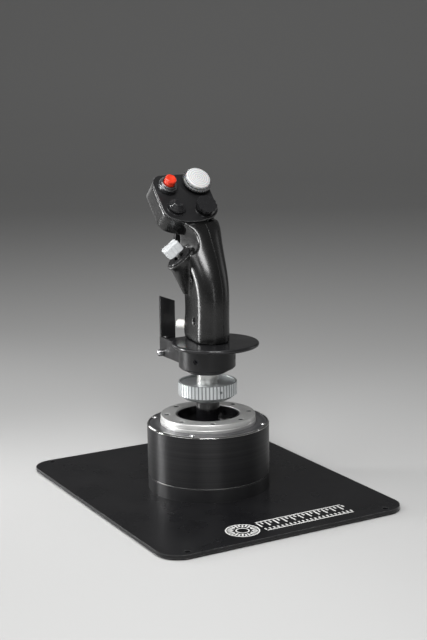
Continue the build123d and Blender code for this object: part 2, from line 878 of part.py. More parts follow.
# ---- lower housing with its bracket, hand rest and bolts ----
housing_floor = bracket_bottom + 2.0
wire_hole_radius = 4.0
set_screw_radius = 2.5
set_screw_angles = (-142.0, -38.0)
set_screw_z = plate_top + 117.0
stop_screw_radius = 1.4
stop_screw_length = 5.0
stop_screw_places = ((-13.0, 37.0), (-13.0, 28.0))
bolt_places = ((grip_bolt_x, grip_bolt_y), (-grip_bolt_x, grip_bolt_y))
with BuildPart() as lower_housing:
    add(
        turned(
            Plane.XY,
            [
                (grip_neck_radius + press_gap, collar_bottom),
                (collar_foot_radius, collar_bottom),
                (collar_radius, collar_bottom + 1.6),
                (collar_radius, housing_bottom - 1.2),
                (housing_radius - 1.6, housing_bottom),
                (housing_radius, housing_bottom + 1.6),
                (housing_radius, rest_bottom),
                (grip_neck_radius + press_gap, rest_bottom),
            ],
        )
    )
    with BuildSketch(Plane.XY.offset(bracket_bottom)):
        with BuildLine():
            Polyline(
                (-bracket_half_width, 0),
                (-bracket_half_width, bracket_ear_front),
                (bracket_ear - bracket_half_width, bracket_ear_front),
                (bracket_ear - bracket_half_width, bracket_front),
                (bracket_half_width - bracket_ear, bracket_front),
                (bracket_half_width - bracket_ear, bracket_ear_front),
                (bracket_half_width, bracket_ear_front),
                (bracket_half_width, 0),
                close=True,
            )
        make_face()
        Circle(housing_radius - housing_wall, mode=Mode.SUBTRACT)
    extrude(amount=bracket_top - bracket_bottom)
    with BuildSketch(Plane.XY.offset(housing_floor)):
        Circle(housing_radius - housing_wall)
        Circle(grip_neck_radius + 3.0, mode=Mode.SUBTRACT)
    extrude(amount=rest_bottom - housing_floor - housing_wall, mode=Mode.SUBTRACT)
    with BuildSketch(Plane.XY.offset(grip_neck_top)):
        Circle(grip_neck_radius + 3.1)
    extrude(amount=rest_bottom - grip_neck_top - housing_wall, mode=Mode.SUBTRACT)
    with BuildSketch(Plane.XY.offset(rest_bottom - housing_wall)):
        Circle(wire_hole_radius)
        with Locations(*bolt_places):
            Circle(grip_bolt_radius + screw_gap)
    extrude(amount=housing_wall, mode=Mode.SUBTRACT)
    add(
        rod(
            about_x(0, paddle_pivot_y, paddle_pivot_z),
            paddle_pin_radius + press_gap,
            -2 * bracket_half_width,
            2 * bracket_half_width,
        ),
        mode=Mode.SUBTRACT,
    )
    with BuildSketch(Plane.XY.offset(bracket_bottom)):
        with Locations(*stop_screw_places):
            Circle(stop_screw_radius + screw_gap)
    extrude(amount=stop_screw_length + 1, mode=Mode.SUBTRACT)
    for angle in set_screw_angles:
        out = (cos(radians(angle)), sin(radians(angle)), 0)
        add(
            rod(
                Plane((0, 0, set_screw_z), x_dir=(0, 0, 1), z_dir=out),
                set_screw_radius + press_gap,
                grip_neck_radius + 4,
                housing_radius + 5,
            ),
            mode=Mode.SUBTRACT,
        )
lower_housing.part.label = "lower_housing"
export_step(lower_housing.part, "parts/lower_housing.step")

with BuildPart() as housing_set_screws:
    for angle in set_screw_angles:
        out = (cos(radians(angle)), sin(radians(angle)), 0)
        seat = Plane((0, 0, set_screw_z), x_dir=(0, 0, 1), z_dir=out)
        add(rod(seat, set_screw_radius, housing_radius - housing_wall - 1, housing_radius - 0.8))
        with BuildSketch(seat.offset(housing_radius - 0.8)):
            RegularPolygon(0.5 * set_screw_radius, 6)
        extrude(amount=-1.6, mode=Mode.SUBTRACT)
housing_set_screws.part.label = "housing_set_screws"
export_step(housing_set_screws.part, "parts/housing_set_screws.step")

with BuildPart() as hand_rest:
    with BuildSketch(Plane.XY.offset(rest_bottom)):
        with Locations((rest_x, rest_y)):
            Circle(rest_radius)
        with Locations(*bolt_places):
            Circle(grip_bolt_radius + screw_gap, mode=Mode.SUBTRACT)
        Circle(wire_hole_radius, mode=Mode.SUBTRACT)
    extrude(amount=rest_thickness)
    rims = hand_rest.edges().filter_by(GeomType.CIRCLE)
    fillet([rim for rim in rims if rim.radius > rest_radius - 1], 0.45 * rest_thickness)
hand_rest.part.label = "hand_rest"
export_step(hand_rest.part, "parts/hand_rest.step")


# ---- handle and head ----
def handle_outline(half, rear, depth, edge_half, edge_y, front):
    """Round rear, slanting sides that end in an edge, and a shallow round front."""
    with BuildSketch() as outline:
        with BuildLine():
            ThreePointArc((-half, rear + depth), (0, rear), (half, rear + depth))
            Line((half, rear + depth), (edge_half, edge_y))
            ThreePointArc((edge_half, edge_y), (0, front), (-edge_half, edge_y))
            Line((-edge_half, edge_y), (-half, rear + depth))
        make_face()
    return outline.sketch


def handle_form(inset):
    """The handle's loft, drawn in from its outer surface by the inset."""
    with BuildPart() as form:
        for height, half, rear, depth, edge_half, edge_y, front in handle_sections:
            section = handle_outline(
                half - inset,
                rear + inset,
                depth - inset,
                edge_half - inset,
                edge_y - 0.5 * inset,
                front - inset,
            )
            with BuildSketch(Plane.XY.offset(plate_top + height)):
                add(section)
        loft()
    return form.part


def head_outline(inset):
    """The head's outline on its face: a broad arc below, round shoulders and top corners."""
    top = head_length - inset
    upper = head_corner - inset
    left = head_centre_x - head_half_width + inset
    right = head_centre_x + head_half_width - inset
    share = (head_sweep - inset) / (head_sweep - head_shoulder)
    touch_x = share * (head_half_width - head_shoulder)
    touch_v = head_sweep - share * (head_sweep - shoulder_v)
    touch_left = (head_centre_x - touch_x, touch_v)
    touch_right = (head_centre_x + touch_x, touch_v)
    with BuildSketch() as outline:
        with BuildLine():
            ThreePointArc(touch_left, (head_centre_x, inset), touch_right)
            RadiusArc(touch_right, (right, shoulder_v), inset - head_shoulder)
            Line((right, shoulder_v), (right, top - upper))
            RadiusArc((right, top - upper), (right - upper, top), -upper)
            Line((right - upper, top), (left + upper, top))
            RadiusArc((left + upper, top), (left, top - upper), -upper)
            Line((left, top - upper), (left, shoulder_v))
            RadiusArc((left, shoulder_v), touch_left, inset - head_shoulder)
        make_face()
    return outline.sketch


# the height on the face at which the shoulders' round corners are centred
shoulder_v = head_sweep - sqrt(
    (head_sweep - head_shoulder) ** 2 - (head_half_width - head_shoulder) ** 2
)
boss_axis = Vector(-0.62, 0.12, 0.775).normalized()
boss_plane = Plane((boss_x, boss_y, boss_z), x_dir=boss_axis.cross(Vector(0, 0, 1)), z_dir=boss_axis)
boss_foot = Plane((boss_foot_x, boss_foot_y, boss_foot_z), x_dir=(1, 0, 0), z_dir=(-0.15, 0, 0.99))
thumb_axis = about_y(thumb_x, 0, thumb_z)
span = 2 * head_half_width + head_length
with BuildPart() as grip_outer:
    add(handle_form(0))
    add(rod(thumb_axis, thumb_radius, -span, span), mode=Mode.SUBTRACT)
    with BuildSketch(face_plane):
        add(head_outline(0))
    extrude(amount=-head_depth)
    with BuildSketch(boss_plane):
        Circle(boss_radius)
    with BuildSketch(boss_plane.offset(-5)):
        Circle(boss_radius - 1)
    with BuildSketch(boss_foot):
        Circle(boss_foot_radius)
    loft(ruled=True)

# the trigger's pivot, its slot and the ears that hold its pin
trigger_x = -1.0
trigger_v = 30.0
trigger_depth = 13.0
trigger_width = 12.0
trigger_pin_radius = 1.5
ear_thickness = 2.5
pivot_point = on_face(trigger_x, trigger_v, -trigger_depth).origin
trigger_axis = about_x(trigger_x, pivot_point.Y, pivot_point.Z)
ear_near = trigger_width / 2 + 1.0
ear_far = ear_near + ear_thickness

# the low button's bore through the front wall
button_radius = 4.2
button_flange = button_radius + 0.6
button_flange_top = -5.6
button_top = 10.8
button_plane = Plane((-6.4, 22.8, plate_top + 142.0), x_dir=(0, 0, 1), z_dir=(-0.42, 0.9075, 0))

# the thumb hat stands above the boss between these two heights, and needs this room
thumb_hat_low = 5.6
thumb_hat_high = 14.0
thumb_hat_width = 15.0
thumb_hat_room = 12.8

seat_radius = 5.6
seat_depth = 13.0
red_seat_radius = 7.2
red_place = (-19.4, 38.2)
trim_place = (10.0, 40.5)
round_place = (-18.6, 15.6)
scallop_place = (7.3, 11.6)
hat_places = (trim_place, round_place, scallop_place)
face_block = 4 * head_length
with BuildPart() as handle_cavity:
    add(handle_form(shell_wall))
    with BuildSketch(face_plane.offset(-shell_wall)):
        Rectangle(face_block, face_block)
    extrude(amount=face_block, mode=Mode.SUBTRACT)
    add(rod(thumb_axis, thumb_radius + shell_wall, -span, span), mode=Mode.SUBTRACT)

with BuildPart() as head_cavity:
    with BuildSketch(face_plane.offset(shell_wall - head_depth)):
        add(head_outline(shell_wall))
    extrude(amount=head_depth)

# columns inside, for the screws that join the shells and the bolts from below
with BuildPart() as grip_columns:
    for height in shell_screw_z:
        with BuildSketch(about_x(0, shell_screw_y, height)):
            Circle(shell_boss_radius)
        extrude(amount=span, both=True)
    with BuildSketch(Plane.XY.offset(handle_bottom)):
        with Locations(*bolt_places):
            Circle(grip_boss_radius)
    extrude(amount=grip_boss_height)
    add(handle_form(0.5 * shell_wall), mode=Mode.INTERSECT)

with BuildPart() as grip_body:
    add(grip_outer.part)
    with BuildSketch(face_plane):
        Rectangle(face_block, face_block)
    extrude(amount=face_block, mode=Mode.SUBTRACT)
    with BuildSketch(face_plane.offset(-face_plate_thickness)):
        add(head_outline(0))
    extrude(amount=2 * face_plate_thickness, mode=Mode.SUBTRACT)
    add(handle_cavity.part, mode=Mode.SUBTRACT)
    add(head_cavity.part, mode=Mode.SUBTRACT)
    add(grip_columns.part)
    with BuildSketch(Plane.XY.offset(handle_bottom)):
        with Locations(*bolt_places):
            Circle(grip_bolt_radius + screw_gap)
    extrude(amount=grip_boss_height - 2, mode=Mode.SUBTRACT)
    for height in shell_screw_z:
        screw_seat = Plane((shell_screw_seat_x, shell_screw_y, height), x_dir=(0, 1, 0), z_dir=(-1, 0, 0))
        add(rod(screw_seat, shell_screw_head + 0.2, 0, -shell_screw_seat_x), mode=Mode.SUBTRACT)
        add(
            rod(screw_seat, shell_screw_radius + screw_gap, -shell_screw_length - 4, 1),
            mode=Mode.SUBTRACT,
        )
    # trigger: ears on the floor of the head, a slot through it and the pin's bore
    for side in (-1, 1):
        with BuildSketch(about_x(trigger_x + side * ear_near, pivot_point.Y, pivot_point.Z)):
            Circle(4.5)
            with Locations((4.5 * sin(radians(face_tilt)), -4.5 * cos(radians(face_tilt)))):
                Rectangle(9, 9, rotation=face_tilt)
        extrude(amount=side * ear_thickness)
    with BuildSketch(on_face(trigger_x, trigger_v - 0.5, -head_depth - 6)):
        Rectangle(trigger_width + 1, 12.5)
    extrude(amount=head_depth - trigger_depth + 2, mode=Mode.SUBTRACT)
    add(
        rod(trigger_axis, trigger_pin_radius + press_gap, -ear_far - 1, ear_far + 1),
        mode=Mode.SUBTRACT,
    )
    add(rod(button_plane, button_radius + open_gap, -6, 12), mode=Mode.SUBTRACT)
    add(rod(button_plane, button_flange + open_gap, -12, button_flange_top + 0.2), mode=Mode.SUBTRACT)
    # room for the hats' seats and above the boss for the thumb hat
    for x, v in hat_places:
        add(rod(on_face(x, v), seat_radius + screw_gap, -seat_depth - 0.1, 1), mode=Mode.SUBTRACT)
    add(rod(boss_plane, seat_radius + screw_gap, -seat_depth - 0.1, 8), mode=Mode.SUBTRACT)
    add(rod(boss_plane, boss_radius + 0.2, 0, 6), mode=Mode.SUBTRACT)
    add(rod(boss_plane, thumb_hat_room, 0, thumb_hat_high + 2), mode=Mode.SUBTRACT)
with BuildPart() as left_shell:
    add(grip_body.part)
    split(bisect_by=Plane.YZ.offset(seam_x), keep=Keep.BOTTOM)
left_shell.part.label = "left_shell"
export_step(left_shell.part, "parts/left_shell.step")

with BuildPart() as right_shell:
    add(grip_body.part)
    split(bisect_by=Plane.YZ.offset(seam_x), keep=Keep.TOP)
right_shell.part.label = "right_shell"
export_step(right_shell.part, "parts/right_shell.step")

with BuildPart() as shell_screws:
    for height in shell_screw_z:
        seat = Plane((shell_screw_seat_x, shell_screw_y, height), x_dir=(0, 1, 0), z_dir=(-1, 0, 0))
        add(
            screw(
                seat,
                shell_screw_radius,
                shell_screw_length,
                shell_screw_head,
                shell_screw_head_height,
                0.5 * shell_screw_head,
            )
        )
shell_screws.part.label = "shell_screws"
export_step(shell_screws.part, "parts/shell_screws.step")

bolt_reach = housing_wall + rest_thickness + grip_boss_height - 4
with BuildPart() as grip_bolts:
    for x, y in bolt_places:
        seat = Plane((x, y, rest_bottom - housing_wall), x_dir=(1, 0, 0), z_dir=(0, 0, -1))
        add(screw(seat, grip_bolt_radius, bolt_reach, grip_bolt_head, 3.0, 1.8))
grip_bolts.part.label = "grip_bolts"
export_step(grip_bolts.part, "parts/grip_bolts.step")

# ---- face plate and what sits in it ----
with BuildPart() as face_plate:
    with BuildSketch(face_plane.offset(-face_plate_thickness)):
        add(head_outline(0))
        with Locations(*hat_places):
            Circle(seat_radius + screw_gap, mode=Mode.SUBTRACT)
        with Locations(red_place):
            Circle(red_seat_radius + screw_gap, mode=Mode.SUBTRACT)
    extrude(amount=face_plate_thickness)
face_plate.part.label = "face_plate"
export_step(face_plate.part, "parts/face_plate.step")

switch_board_thickness = 1.6
with BuildPart() as switch_board:
    with BuildSketch(face_plane.offset(-seat_depth - switch_board_thickness)):
        add(head_outline(shell_wall + 1))
        with Locations((trigger_x, trigger_v)):
            Rectangle(2 * ear_far + 3, 19, mode=Mode.SUBTRACT)
    extrude(amount=switch_board_thickness)
switch_board.part.label = "switch_board"
export_step(switch_board.part, "parts/switch_board.step")

# ---- four-way hats: a seat, a cross ring and a hat that tilts on it ----
hat_drop = 4.0
hat_bore = 4.7
cross_outer = 4.2
cross_inner = 2.9
cross_height = 2.2
cross_pin = 0.6
stem_foot = 1.4
hat_stem = 1.9


def axis_along(plane, direction):
    """A plane at the hat's pivot whose normal is one of the hat's own directions."""
    centre = plane.origin - plane.z_dir * hat_drop
    other = plane.z_dir
    return Plane(centre, x_dir=other, z_dir=direction)


def hat_seat(plane, collar, height):
    """The fixed switch body with its collar, open at the top."""
    with BuildPart() as seat:
        add(
            turned(
                plane,
                [
                    (0, -seat_depth),
                    (seat_radius, -seat_depth),
                    (seat_radius, 0),
                    (collar, 0),
                    (collar, height - 0.4),
                    (collar - 0.4, height),
                    (hat_bore, height),
                    (hat_bore, 1.5 - seat_depth),
                    (0, 1.5 - seat_depth),
                ],
            )
        )
        add(
            rod(axis_along(plane, plane.x_dir), cross_pin + running_gap, -seat_radius - 1, seat_radius + 1),
            mode=Mode.SUBTRACT,
        )
    return seat.part


def hat_cross(plane):
    """The ring that tilts in the seat and carries the hat's own pins."""
    low = -hat_drop - cross_height / 2
    with BuildPart() as cross:
        add(ring_of(plane, cross_outer, cross_inner, low, low + cross_height))
        add(rod(axis_along(plane, plane.x_dir), cross_pin, cross_outer - 0.5, seat_radius - 0.2))
        add(rod(axis_along(plane, plane.x_dir), cross_pin, 0.2 - seat_radius, 0.5 - cross_outer))
        add(
            rod(axis_along(plane, plane.y_dir), cross_pin + running_gap, -seat_radius, seat_radius),
            mode=Mode.SUBTRACT,
        )
    return cross.part


def hat_stem_part(plane, top):
    """The hat's stem with its two cross pins."""
    with BuildPart() as stem:
        add(rod(plane, hat_stem, -hat_drop - stem_foot, top))
        add(rod(axis_along(plane, plane.y_dir), cross_pin, 0.2 - cross_outer, cross_outer - 0.2))
    return stem.part


trim_plane = on_face(*trim_place)
round_plane = on_face(*round_place)
scallop_plane = on_face(*scallop_place)
thumb_plane = boss_plane

# ---- trim hat: large and white on a serrated silver flange ----
trim_seat_height = 1.4
trim_flange = 13.3
trim_flange_low = 3.4
trim_flange_high = 5.2
trim_cap = 11.2
trim_cap_low = 6.0
trim_cap_high = 9.0
trim_cap_neck = 9.6
trim_teeth = 32
with BuildPart() as trim_seat:
    add(hat_seat(trim_plane, 9.0, trim_seat_height))
trim_seat.part.label = "trim_seat"
export_step(trim_seat.part, "parts/trim_seat.step")

with BuildPart() as trim_cross:
    add(hat_cross(trim_plane))
trim_cross.part.label = "trim_cross"
export_step(trim_cross.part, "parts/trim_cross.step")

with BuildPart() as trim_flange_ring:
    add(hat_stem_part(trim_plane, trim_flange_high))
    with BuildSketch(trim_plane.offset(trim_flange_low)):
        Circle(trim_flange)
        with PolarLocations(trim_flange, trim_teeth):
            Rectangle(1.0, 1.1, mode=Mode.SUBTRACT)
    extrude(amount=trim_flange_high - trim_flange_low)
trim_flange_ring.part.label = "trim_flange_ring"
export_step(trim_flange_ring.part, "parts/trim_flange_ring.step")

with BuildPart() as trim_hat:
    add(
        turned(
            trim_plane,
            [
                (0, trim_flange_high),
                (trim_cap_neck, trim_flange_high),
                (trim_cap_neck, trim_cap_low),
                (trim_cap, trim_cap_low),
                (trim_cap, trim_cap_high - 1.0),
                (trim_cap - 0.9, trim_cap_high - 0.1),
                (trim_cap - 2.0, trim_cap_high + 0.3),
                (0, trim_cap_high - 0.1),
            ],
        )
    )
trim_hat.part.label = "trim_hat"
export_step(trim_hat.part, "parts/trim_hat.step")

# ---- round stepped hat ----
with BuildPart() as round_seat:
    add(hat_seat(round_plane, 8.9, 0.9))
round_seat.part.label = "round_seat"
export_step(round_seat.part, "parts/round_seat.step")

with BuildPart() as round_cross:
    add(hat_cross(round_plane))
round_cross.part.label = "round_cross"
export_step(round_cross.part, "parts/round_cross.step")

with BuildPart() as round_hat:
    add(hat_stem_part(round_plane, 3.0))
    add(
        turned(
            round_plane,
            [
                (0, 2.4),
                (7.6, 2.4),
                (7.6, 3.4),
                (6.9, 3.5),
                (6.6, 4.4),
                (5.9, 4.5),
                (5.6, 5.4),
                (4.9, 5.5),
                (4.6, 6.4),
                (4.0, 6.5),
                (3.8, 7.4),
                (3.3, 7.8),
                (0, 7.3),
            ],
        )
    )
round_hat.part.label = "round_hat"
export_step(round_hat.part, "parts/round_hat.step")

# ---- scalloped hat ----
scallop_radius = 9.4
scallop_low = 5.6
scallop_high = 8.8
with BuildPart() as scallop_seat:
    add(hat_seat(scallop_plane, 8.6, 0.9))
scallop_seat.part.label = "scallop_seat"
export_step(scallop_seat.part, "parts/scallop_seat.step")

with BuildPart() as scallop_cross:
    add(hat_cross(scallop_plane))
scallop_cross.part.label = "scallop_cross"
export_step(scallop_cross.part, "parts/scallop_cross.step")

with BuildPart() as scallop_hat:
    add(hat_stem_part(scallop_plane, scallop_low))
    add(turned(scallop_plane, [(0, 2.0), (5.2, 2.0), (4.6, 3.4), (5.2, scallop_low), (0, scallop_low)]))
    with BuildSketch(scallop_plane.offset(scallop_low)):
        Circle(scallop_radius)
        with PolarLocations(scallop_radius + 1.6, 8):
            Circle(2.4, mode=Mode.SUBTRACT)
    extrude(amount=scallop_high - scallop_low)
scallop_hat.part.label = "scallop_hat"
export_step(scallop_hat.part, "parts/scallop_hat.step")

# ---- thumb hat on the side: tall, square and also pressed in ----
thumb_travel = 1.2
thumb_spigot = 5.0
thumb_spigot_low = 4.2
thumb_roof = 4.0
with BuildPart() as thumb_seat:
    add(hat_seat(thumb_plane, 11.6, 1.2))
thumb_seat.part.label = "thumb_seat"
export_step(thumb_seat.part, "parts/thumb_seat.step")

with BuildPart() as thumb_cross:
    add(hat_cross(thumb_plane))
thumb_cross.part.label = "thumb_cross"
export_step(thumb_cross.part, "parts/thumb_cross.step")

with BuildPart() as thumb_stem:
    add(hat_stem_part(thumb_plane, thumb_hat_high - thumb_roof))
thumb_stem.part.label = "thumb_stem"
export_step(thumb_stem.part, "parts/thumb_stem.step")

with BuildPart() as thumb_hat:
    with BuildSketch(thumb_plane.offset(thumb_hat_low)):
        RectangleRounded(thumb_hat_width, thumb_hat_width, 3.0)
        with PolarLocations(thumb_hat_width / 2 + 1.2, 4):
            Circle(2.4, mode=Mode.SUBTRACT)
    extrude(amount=thumb_hat_high - thumb_hat_low)
    add(rod(thumb_plane, thumb_spigot, thumb_spigot_low, thumb_hat_low))
    bore_top = thumb_hat_high - thumb_roof + thumb_travel + open_gap
    add(rod(thumb_plane, hat_stem + running_gap, thumb_spigot_low - 1, bore_top), mode=Mode.SUBTRACT)
thumb_hat.part.label = "thumb_hat"
export_step(thumb_hat.part, "parts/thumb_hat.step")

# ---- red button and its collar ----
red_plane = on_face(*red_place)
red_radius = 5.0
red_top = 13.2
red_travel = 2.5
red_bore = red_radius + open_gap
with BuildPart() as red_collar:
    add(
        turned(
            red_plane,
            [
                (0, -seat_depth),
                (red_seat_radius, -seat_depth),
                (red_seat_radius, 0),
                (8.4, 0),
                (8.4, 5.2),
                (7.9, 5.7),
                (7.0, 5.7),
                (7.0, 7.3),
                (6.6, 7.7),
                (red_bore + 0.3, 7.7),
                (red_bore, 7.3),
                (red_bore, -6.0),
                (0, -6.0),
            ],
        )
    )
red_collar.part.label = "red_collar"
export_step(red_collar.part, "parts/red_collar.step")

with BuildPart() as red_button:
    add(
        turned(
            red_plane,
            [
                (0, red_travel - 5.5),
                (red_radius, red_travel - 5.5),
                (red_radius, red_top - 0.9),
                (red_radius - 0.9, red_top),
                (0, red_top - 0.3),
            ],
        )
    )
red_button.part.label = "red_button"
export_step(red_button.part, "parts/red_button.step")

# ---- low white button ----
with BuildPart() as low_button:
    add(
        turned(
            button_plane,
            [
                (0, button_flange_top - 1.4),
                (button_flange, button_flange_top - 1.4),
                (button_flange, button_flange_top),
                (button_radius, button_flange_top),
                (button_radius, button_top - 0.7),
                (button_radius - 0.7, button_top),
                (0, button_top),
            ],
        )
    )
low_button.part.label = "low_button"
export_step(low_button.part, "parts/low_button.step")

# ---- trigger and its pin ----
with BuildPart() as trigger:
    with BuildSketch(trigger_axis):
        with BuildLine():
            Polyline((11.0, -8.0), (3.0, 4.0), (-4.0, 4.0), (-4.0, -4.0), (4.8, -10.5))
            ThreePointArc((4.8, -10.5), (3.6, -24.0), (7.0, -40.5))
            ThreePointArc((7.0, -40.5), (9.4, -42.0), (11.0, -39.5))
            ThreePointArc((11.0, -39.5), (8.6, -24.0), (11.0, -8.0))
        make_face()
        Circle(4.0)
    extrude(amount=trigger_width / 2, both=True)
    add(
        rod(trigger_axis, trigger_pin_radius + running_gap, -trigger_width, trigger_width),
        mode=Mode.SUBTRACT,
    )
trigger.part.label = "trigger"
export_step(trigger.part, "parts/trigger.step")

with BuildPart() as trigger_pin:
    add(rod(trigger_axis, trigger_pin_radius, -ear_far, ear_far))
trigger_pin.part.label = "trigger_pin"
export_step(trigger_pin.part, "parts/trigger_pin.step")

# ---- paddle lever, its pin and the stop screws under the bracket ----
foot_half = bracket_half_width - bracket_ear - 0.5
blade_low = bracket_top + 1.3
foot_top = paddle_pivot_z + 7.5
paddle_axis = about_x(0, paddle_pivot_y, paddle_pivot_z)
with BuildPart() as paddle_lever:
    with BuildSketch(Plane.XY.offset(paddle_pivot_z - 3.4)):
        with Locations((0, paddle_pivot_y + 0.4)):
            Rectangle(2 * foot_half, 8.6)
    extrude(amount=3.4 + foot_top - paddle_pivot_z)
    for left, low, high in ((paddle_left, blade_low, paddle_top), (-foot_half, foot_top - 0.5, blade_low)):
        with BuildSketch(Plane.XY.offset(low)):
            with BuildLine():
                ThreePointArc(
                    (left, paddle_y),
                    ((left + paddle_right) / 2, paddle_y + paddle_bow),
                    (paddle_right, paddle_y + 0.4),
                )
                Line((paddle_right, paddle_y + 0.4), (paddle_right, paddle_y + 0.4 + paddle_thickness))
                ThreePointArc(
                    (paddle_right, paddle_y + 0.4 + paddle_thickness),
                    ((left + paddle_right) / 2, paddle_y + paddle_bow + paddle_thickness),
                    (left, paddle_y + paddle_thickness),
                )
                Line((left, paddle_y + paddle_thickness), (left, paddle_y))
            make_face()
        extrude(amount=high - low)
    # the blade's top edge falls from its left corner to its right one
    with BuildSketch(about_y(0, paddle_y - 5, 0)):
        with BuildLine():
            Polyline(
                (paddle_left - 1, -paddle_top),
                (paddle_left - 1, -paddle_top - 1),
                (paddle_right + 1, -paddle_top - 1),
                (paddle_right + 1, paddle_slope - paddle_top),
                (paddle_left, -paddle_top),
                close=True,
            )
        make_face()
    extrude(amount=15, mode=Mode.SUBTRACT)
    add(
        rod(paddle_axis, paddle_pin_radius + running_gap, -bracket_half_width, bracket_half_width),
        mode=Mode.SUBTRACT,
    )
paddle_lever.part.label = "paddle_lever"
export_step(paddle_lever.part, "parts/paddle_lever.step")

pin_head = 3.2
with BuildPart() as paddle_pin:
    add(rod(paddle_axis, paddle_pin_radius, -bracket_half_width - 1, bracket_half_width))
    add(
        turned(
            paddle_axis,
            [
                (0, -bracket_half_width - 5.5),
                (0.6 * pin_head, -bracket_half_width - 5.5),
                (pin_head, -bracket_half_width - 4.2),
                (pin_head, -bracket_half_width),
                (0, -bracket_half_width),
            ],
        )
    )
paddle_pin.part.label = "paddle_pin"
export_step(paddle_pin.part, "parts/paddle_pin.step")

with BuildPart() as stop_screws:
    for x, y in stop_screw_places:
        seat = Plane((x, y, bracket_bottom), x_dir=(1, 0, 0), z_dir=(0, 0, -1))
        add(screw(seat, stop_screw_radius, stop_screw_length, 2.2, 2.6, 1.2))
stop_screws.part.label = "stop_screws"
export_step(stop_screws.part, "parts/stop_screws.step")
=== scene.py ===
import json
import math
import bmesh
import bpy
from mathutils import Matrix, Vector

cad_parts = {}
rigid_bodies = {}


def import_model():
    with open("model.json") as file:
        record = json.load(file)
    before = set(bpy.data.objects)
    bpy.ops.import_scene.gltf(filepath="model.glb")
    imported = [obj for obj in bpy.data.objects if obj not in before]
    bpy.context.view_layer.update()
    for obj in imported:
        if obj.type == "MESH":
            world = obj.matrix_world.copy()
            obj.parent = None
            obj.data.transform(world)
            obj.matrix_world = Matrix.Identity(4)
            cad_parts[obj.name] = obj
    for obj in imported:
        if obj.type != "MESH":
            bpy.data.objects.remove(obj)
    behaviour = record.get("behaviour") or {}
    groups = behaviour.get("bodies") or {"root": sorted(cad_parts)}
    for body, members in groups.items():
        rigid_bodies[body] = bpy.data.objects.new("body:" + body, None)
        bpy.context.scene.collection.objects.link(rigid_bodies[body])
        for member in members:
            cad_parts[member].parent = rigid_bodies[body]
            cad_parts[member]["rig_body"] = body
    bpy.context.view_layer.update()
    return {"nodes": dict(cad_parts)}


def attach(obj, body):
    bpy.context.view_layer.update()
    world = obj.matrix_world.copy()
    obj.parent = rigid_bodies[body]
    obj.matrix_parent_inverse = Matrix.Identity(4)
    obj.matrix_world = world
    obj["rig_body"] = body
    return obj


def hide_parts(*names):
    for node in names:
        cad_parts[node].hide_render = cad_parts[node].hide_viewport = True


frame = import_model()
nodes = frame["nodes"]
mm = 0.001

# ---- Floor plate ----
# A sheet of steel cut with round corners and drilled near each of them. It is powder
# coated in fine black texture, and the round base is bolted to it from below.


def new_finish(name, colour, rough, metal=0.0):
    """A plain finish to start from; what shows its grain is added to it next."""
    paint = bpy.data.materials.new(name)
    paint.use_nodes = True
    shader = paint.node_tree.nodes["Principled BSDF"]
    shader.inputs["Base Color"].default_value = (*colour, 1)
    shader.inputs["Roughness"].default_value = rough
    shader.inputs["Metallic"].default_value = metal
    return paint


def put(paint, kind, *feeds, modes=None, **named):
    """Adds a node to a finish; each of its sockets gets a number or another socket."""
    made = paint.node_tree.nodes.new(kind)
    for key, value in (modes or {}).items():
        setattr(made, key, value)
    sockets = [(made.inputs[i], value) for i, value in enumerate(feeds)]
    sockets += [(made.inputs[key.replace("_", " ")], value) for key, value in named.items()]
    for socket, value in sockets:
        if isinstance(value, bpy.types.NodeSocket):
            paint.node_tree.links.new(value, socket)
        else:
            socket.default_value = value
    return made


def lead(paint, source, socket):
    """Leads a source into a socket of the finish's shader."""
    paint.node_tree.links.new(source, paint.node_tree.nodes["Principled BSDF"].inputs[socket])


def hold(paint, socket, value):
    """Sets a socket of the finish's shader to one value all over."""
    paint.node_tree.nodes["Principled BSDF"].inputs[socket].default_value = value


def worked(paint, operation, *feeds):
    """The result of one step of arithmetic on numbers."""
    return put(paint, "ShaderNodeMath", *feeds, modes={"operation": operation}).outputs[0]


def vector_step(paint, operation, *feeds):
    """The node for one step of arithmetic on vectors."""
    return put(paint, "ShaderNodeVectorMath", *feeds, modes={"operation": operation})


def place_on(paint):
    """The point on the piece, in millimetres of the whole object."""
    place = put(paint, "ShaderNodeTexCoord").outputs["Object"]
    return vector_step(paint, "MULTIPLY", place, (1 / mm, 1 / mm, 1 / mm)).outputs[0]


def grain(paint, place, size, detail=3.0):
    """Random grain of about this size in millimetres, from 0 to 1."""
    return put(paint, "ShaderNodeTexNoise", Vector=place, Scale=1 / size, Detail=detail).outputs[0]


def spread(paint, source, low, high, start=0.3, stop=0.7):
    """Takes the middle of a source out to the range from low to high."""
    return put(paint, "ShaderNodeMapRange", source, start, stop, low, high).outputs[0]


def mixed(paint, share, first, second):
    """One colour turning into another as the share goes from 0 to 1."""
    mix = put(paint, "ShaderNodeMix", modes={"data_type": "RGBA"})
    for index, value in ((0, share), (6, first), (7, second)):
        if isinstance(value, bpy.types.NodeSocket):
            paint.node_tree.links.new(value, mix.inputs[index])
        else:
            mix.inputs[index].default_value = value if index == 0 else (*value, 1)
    return mix.outputs[2]


def relief(paint, height, depth):
    """Raises the surface by a source, up to this depth in millimetres."""
    bump = put(paint, "ShaderNodeBump", Strength=1.0, Distance=depth * mm, Height=height)
    lead(paint, bump.outputs["Normal"], "Normal")


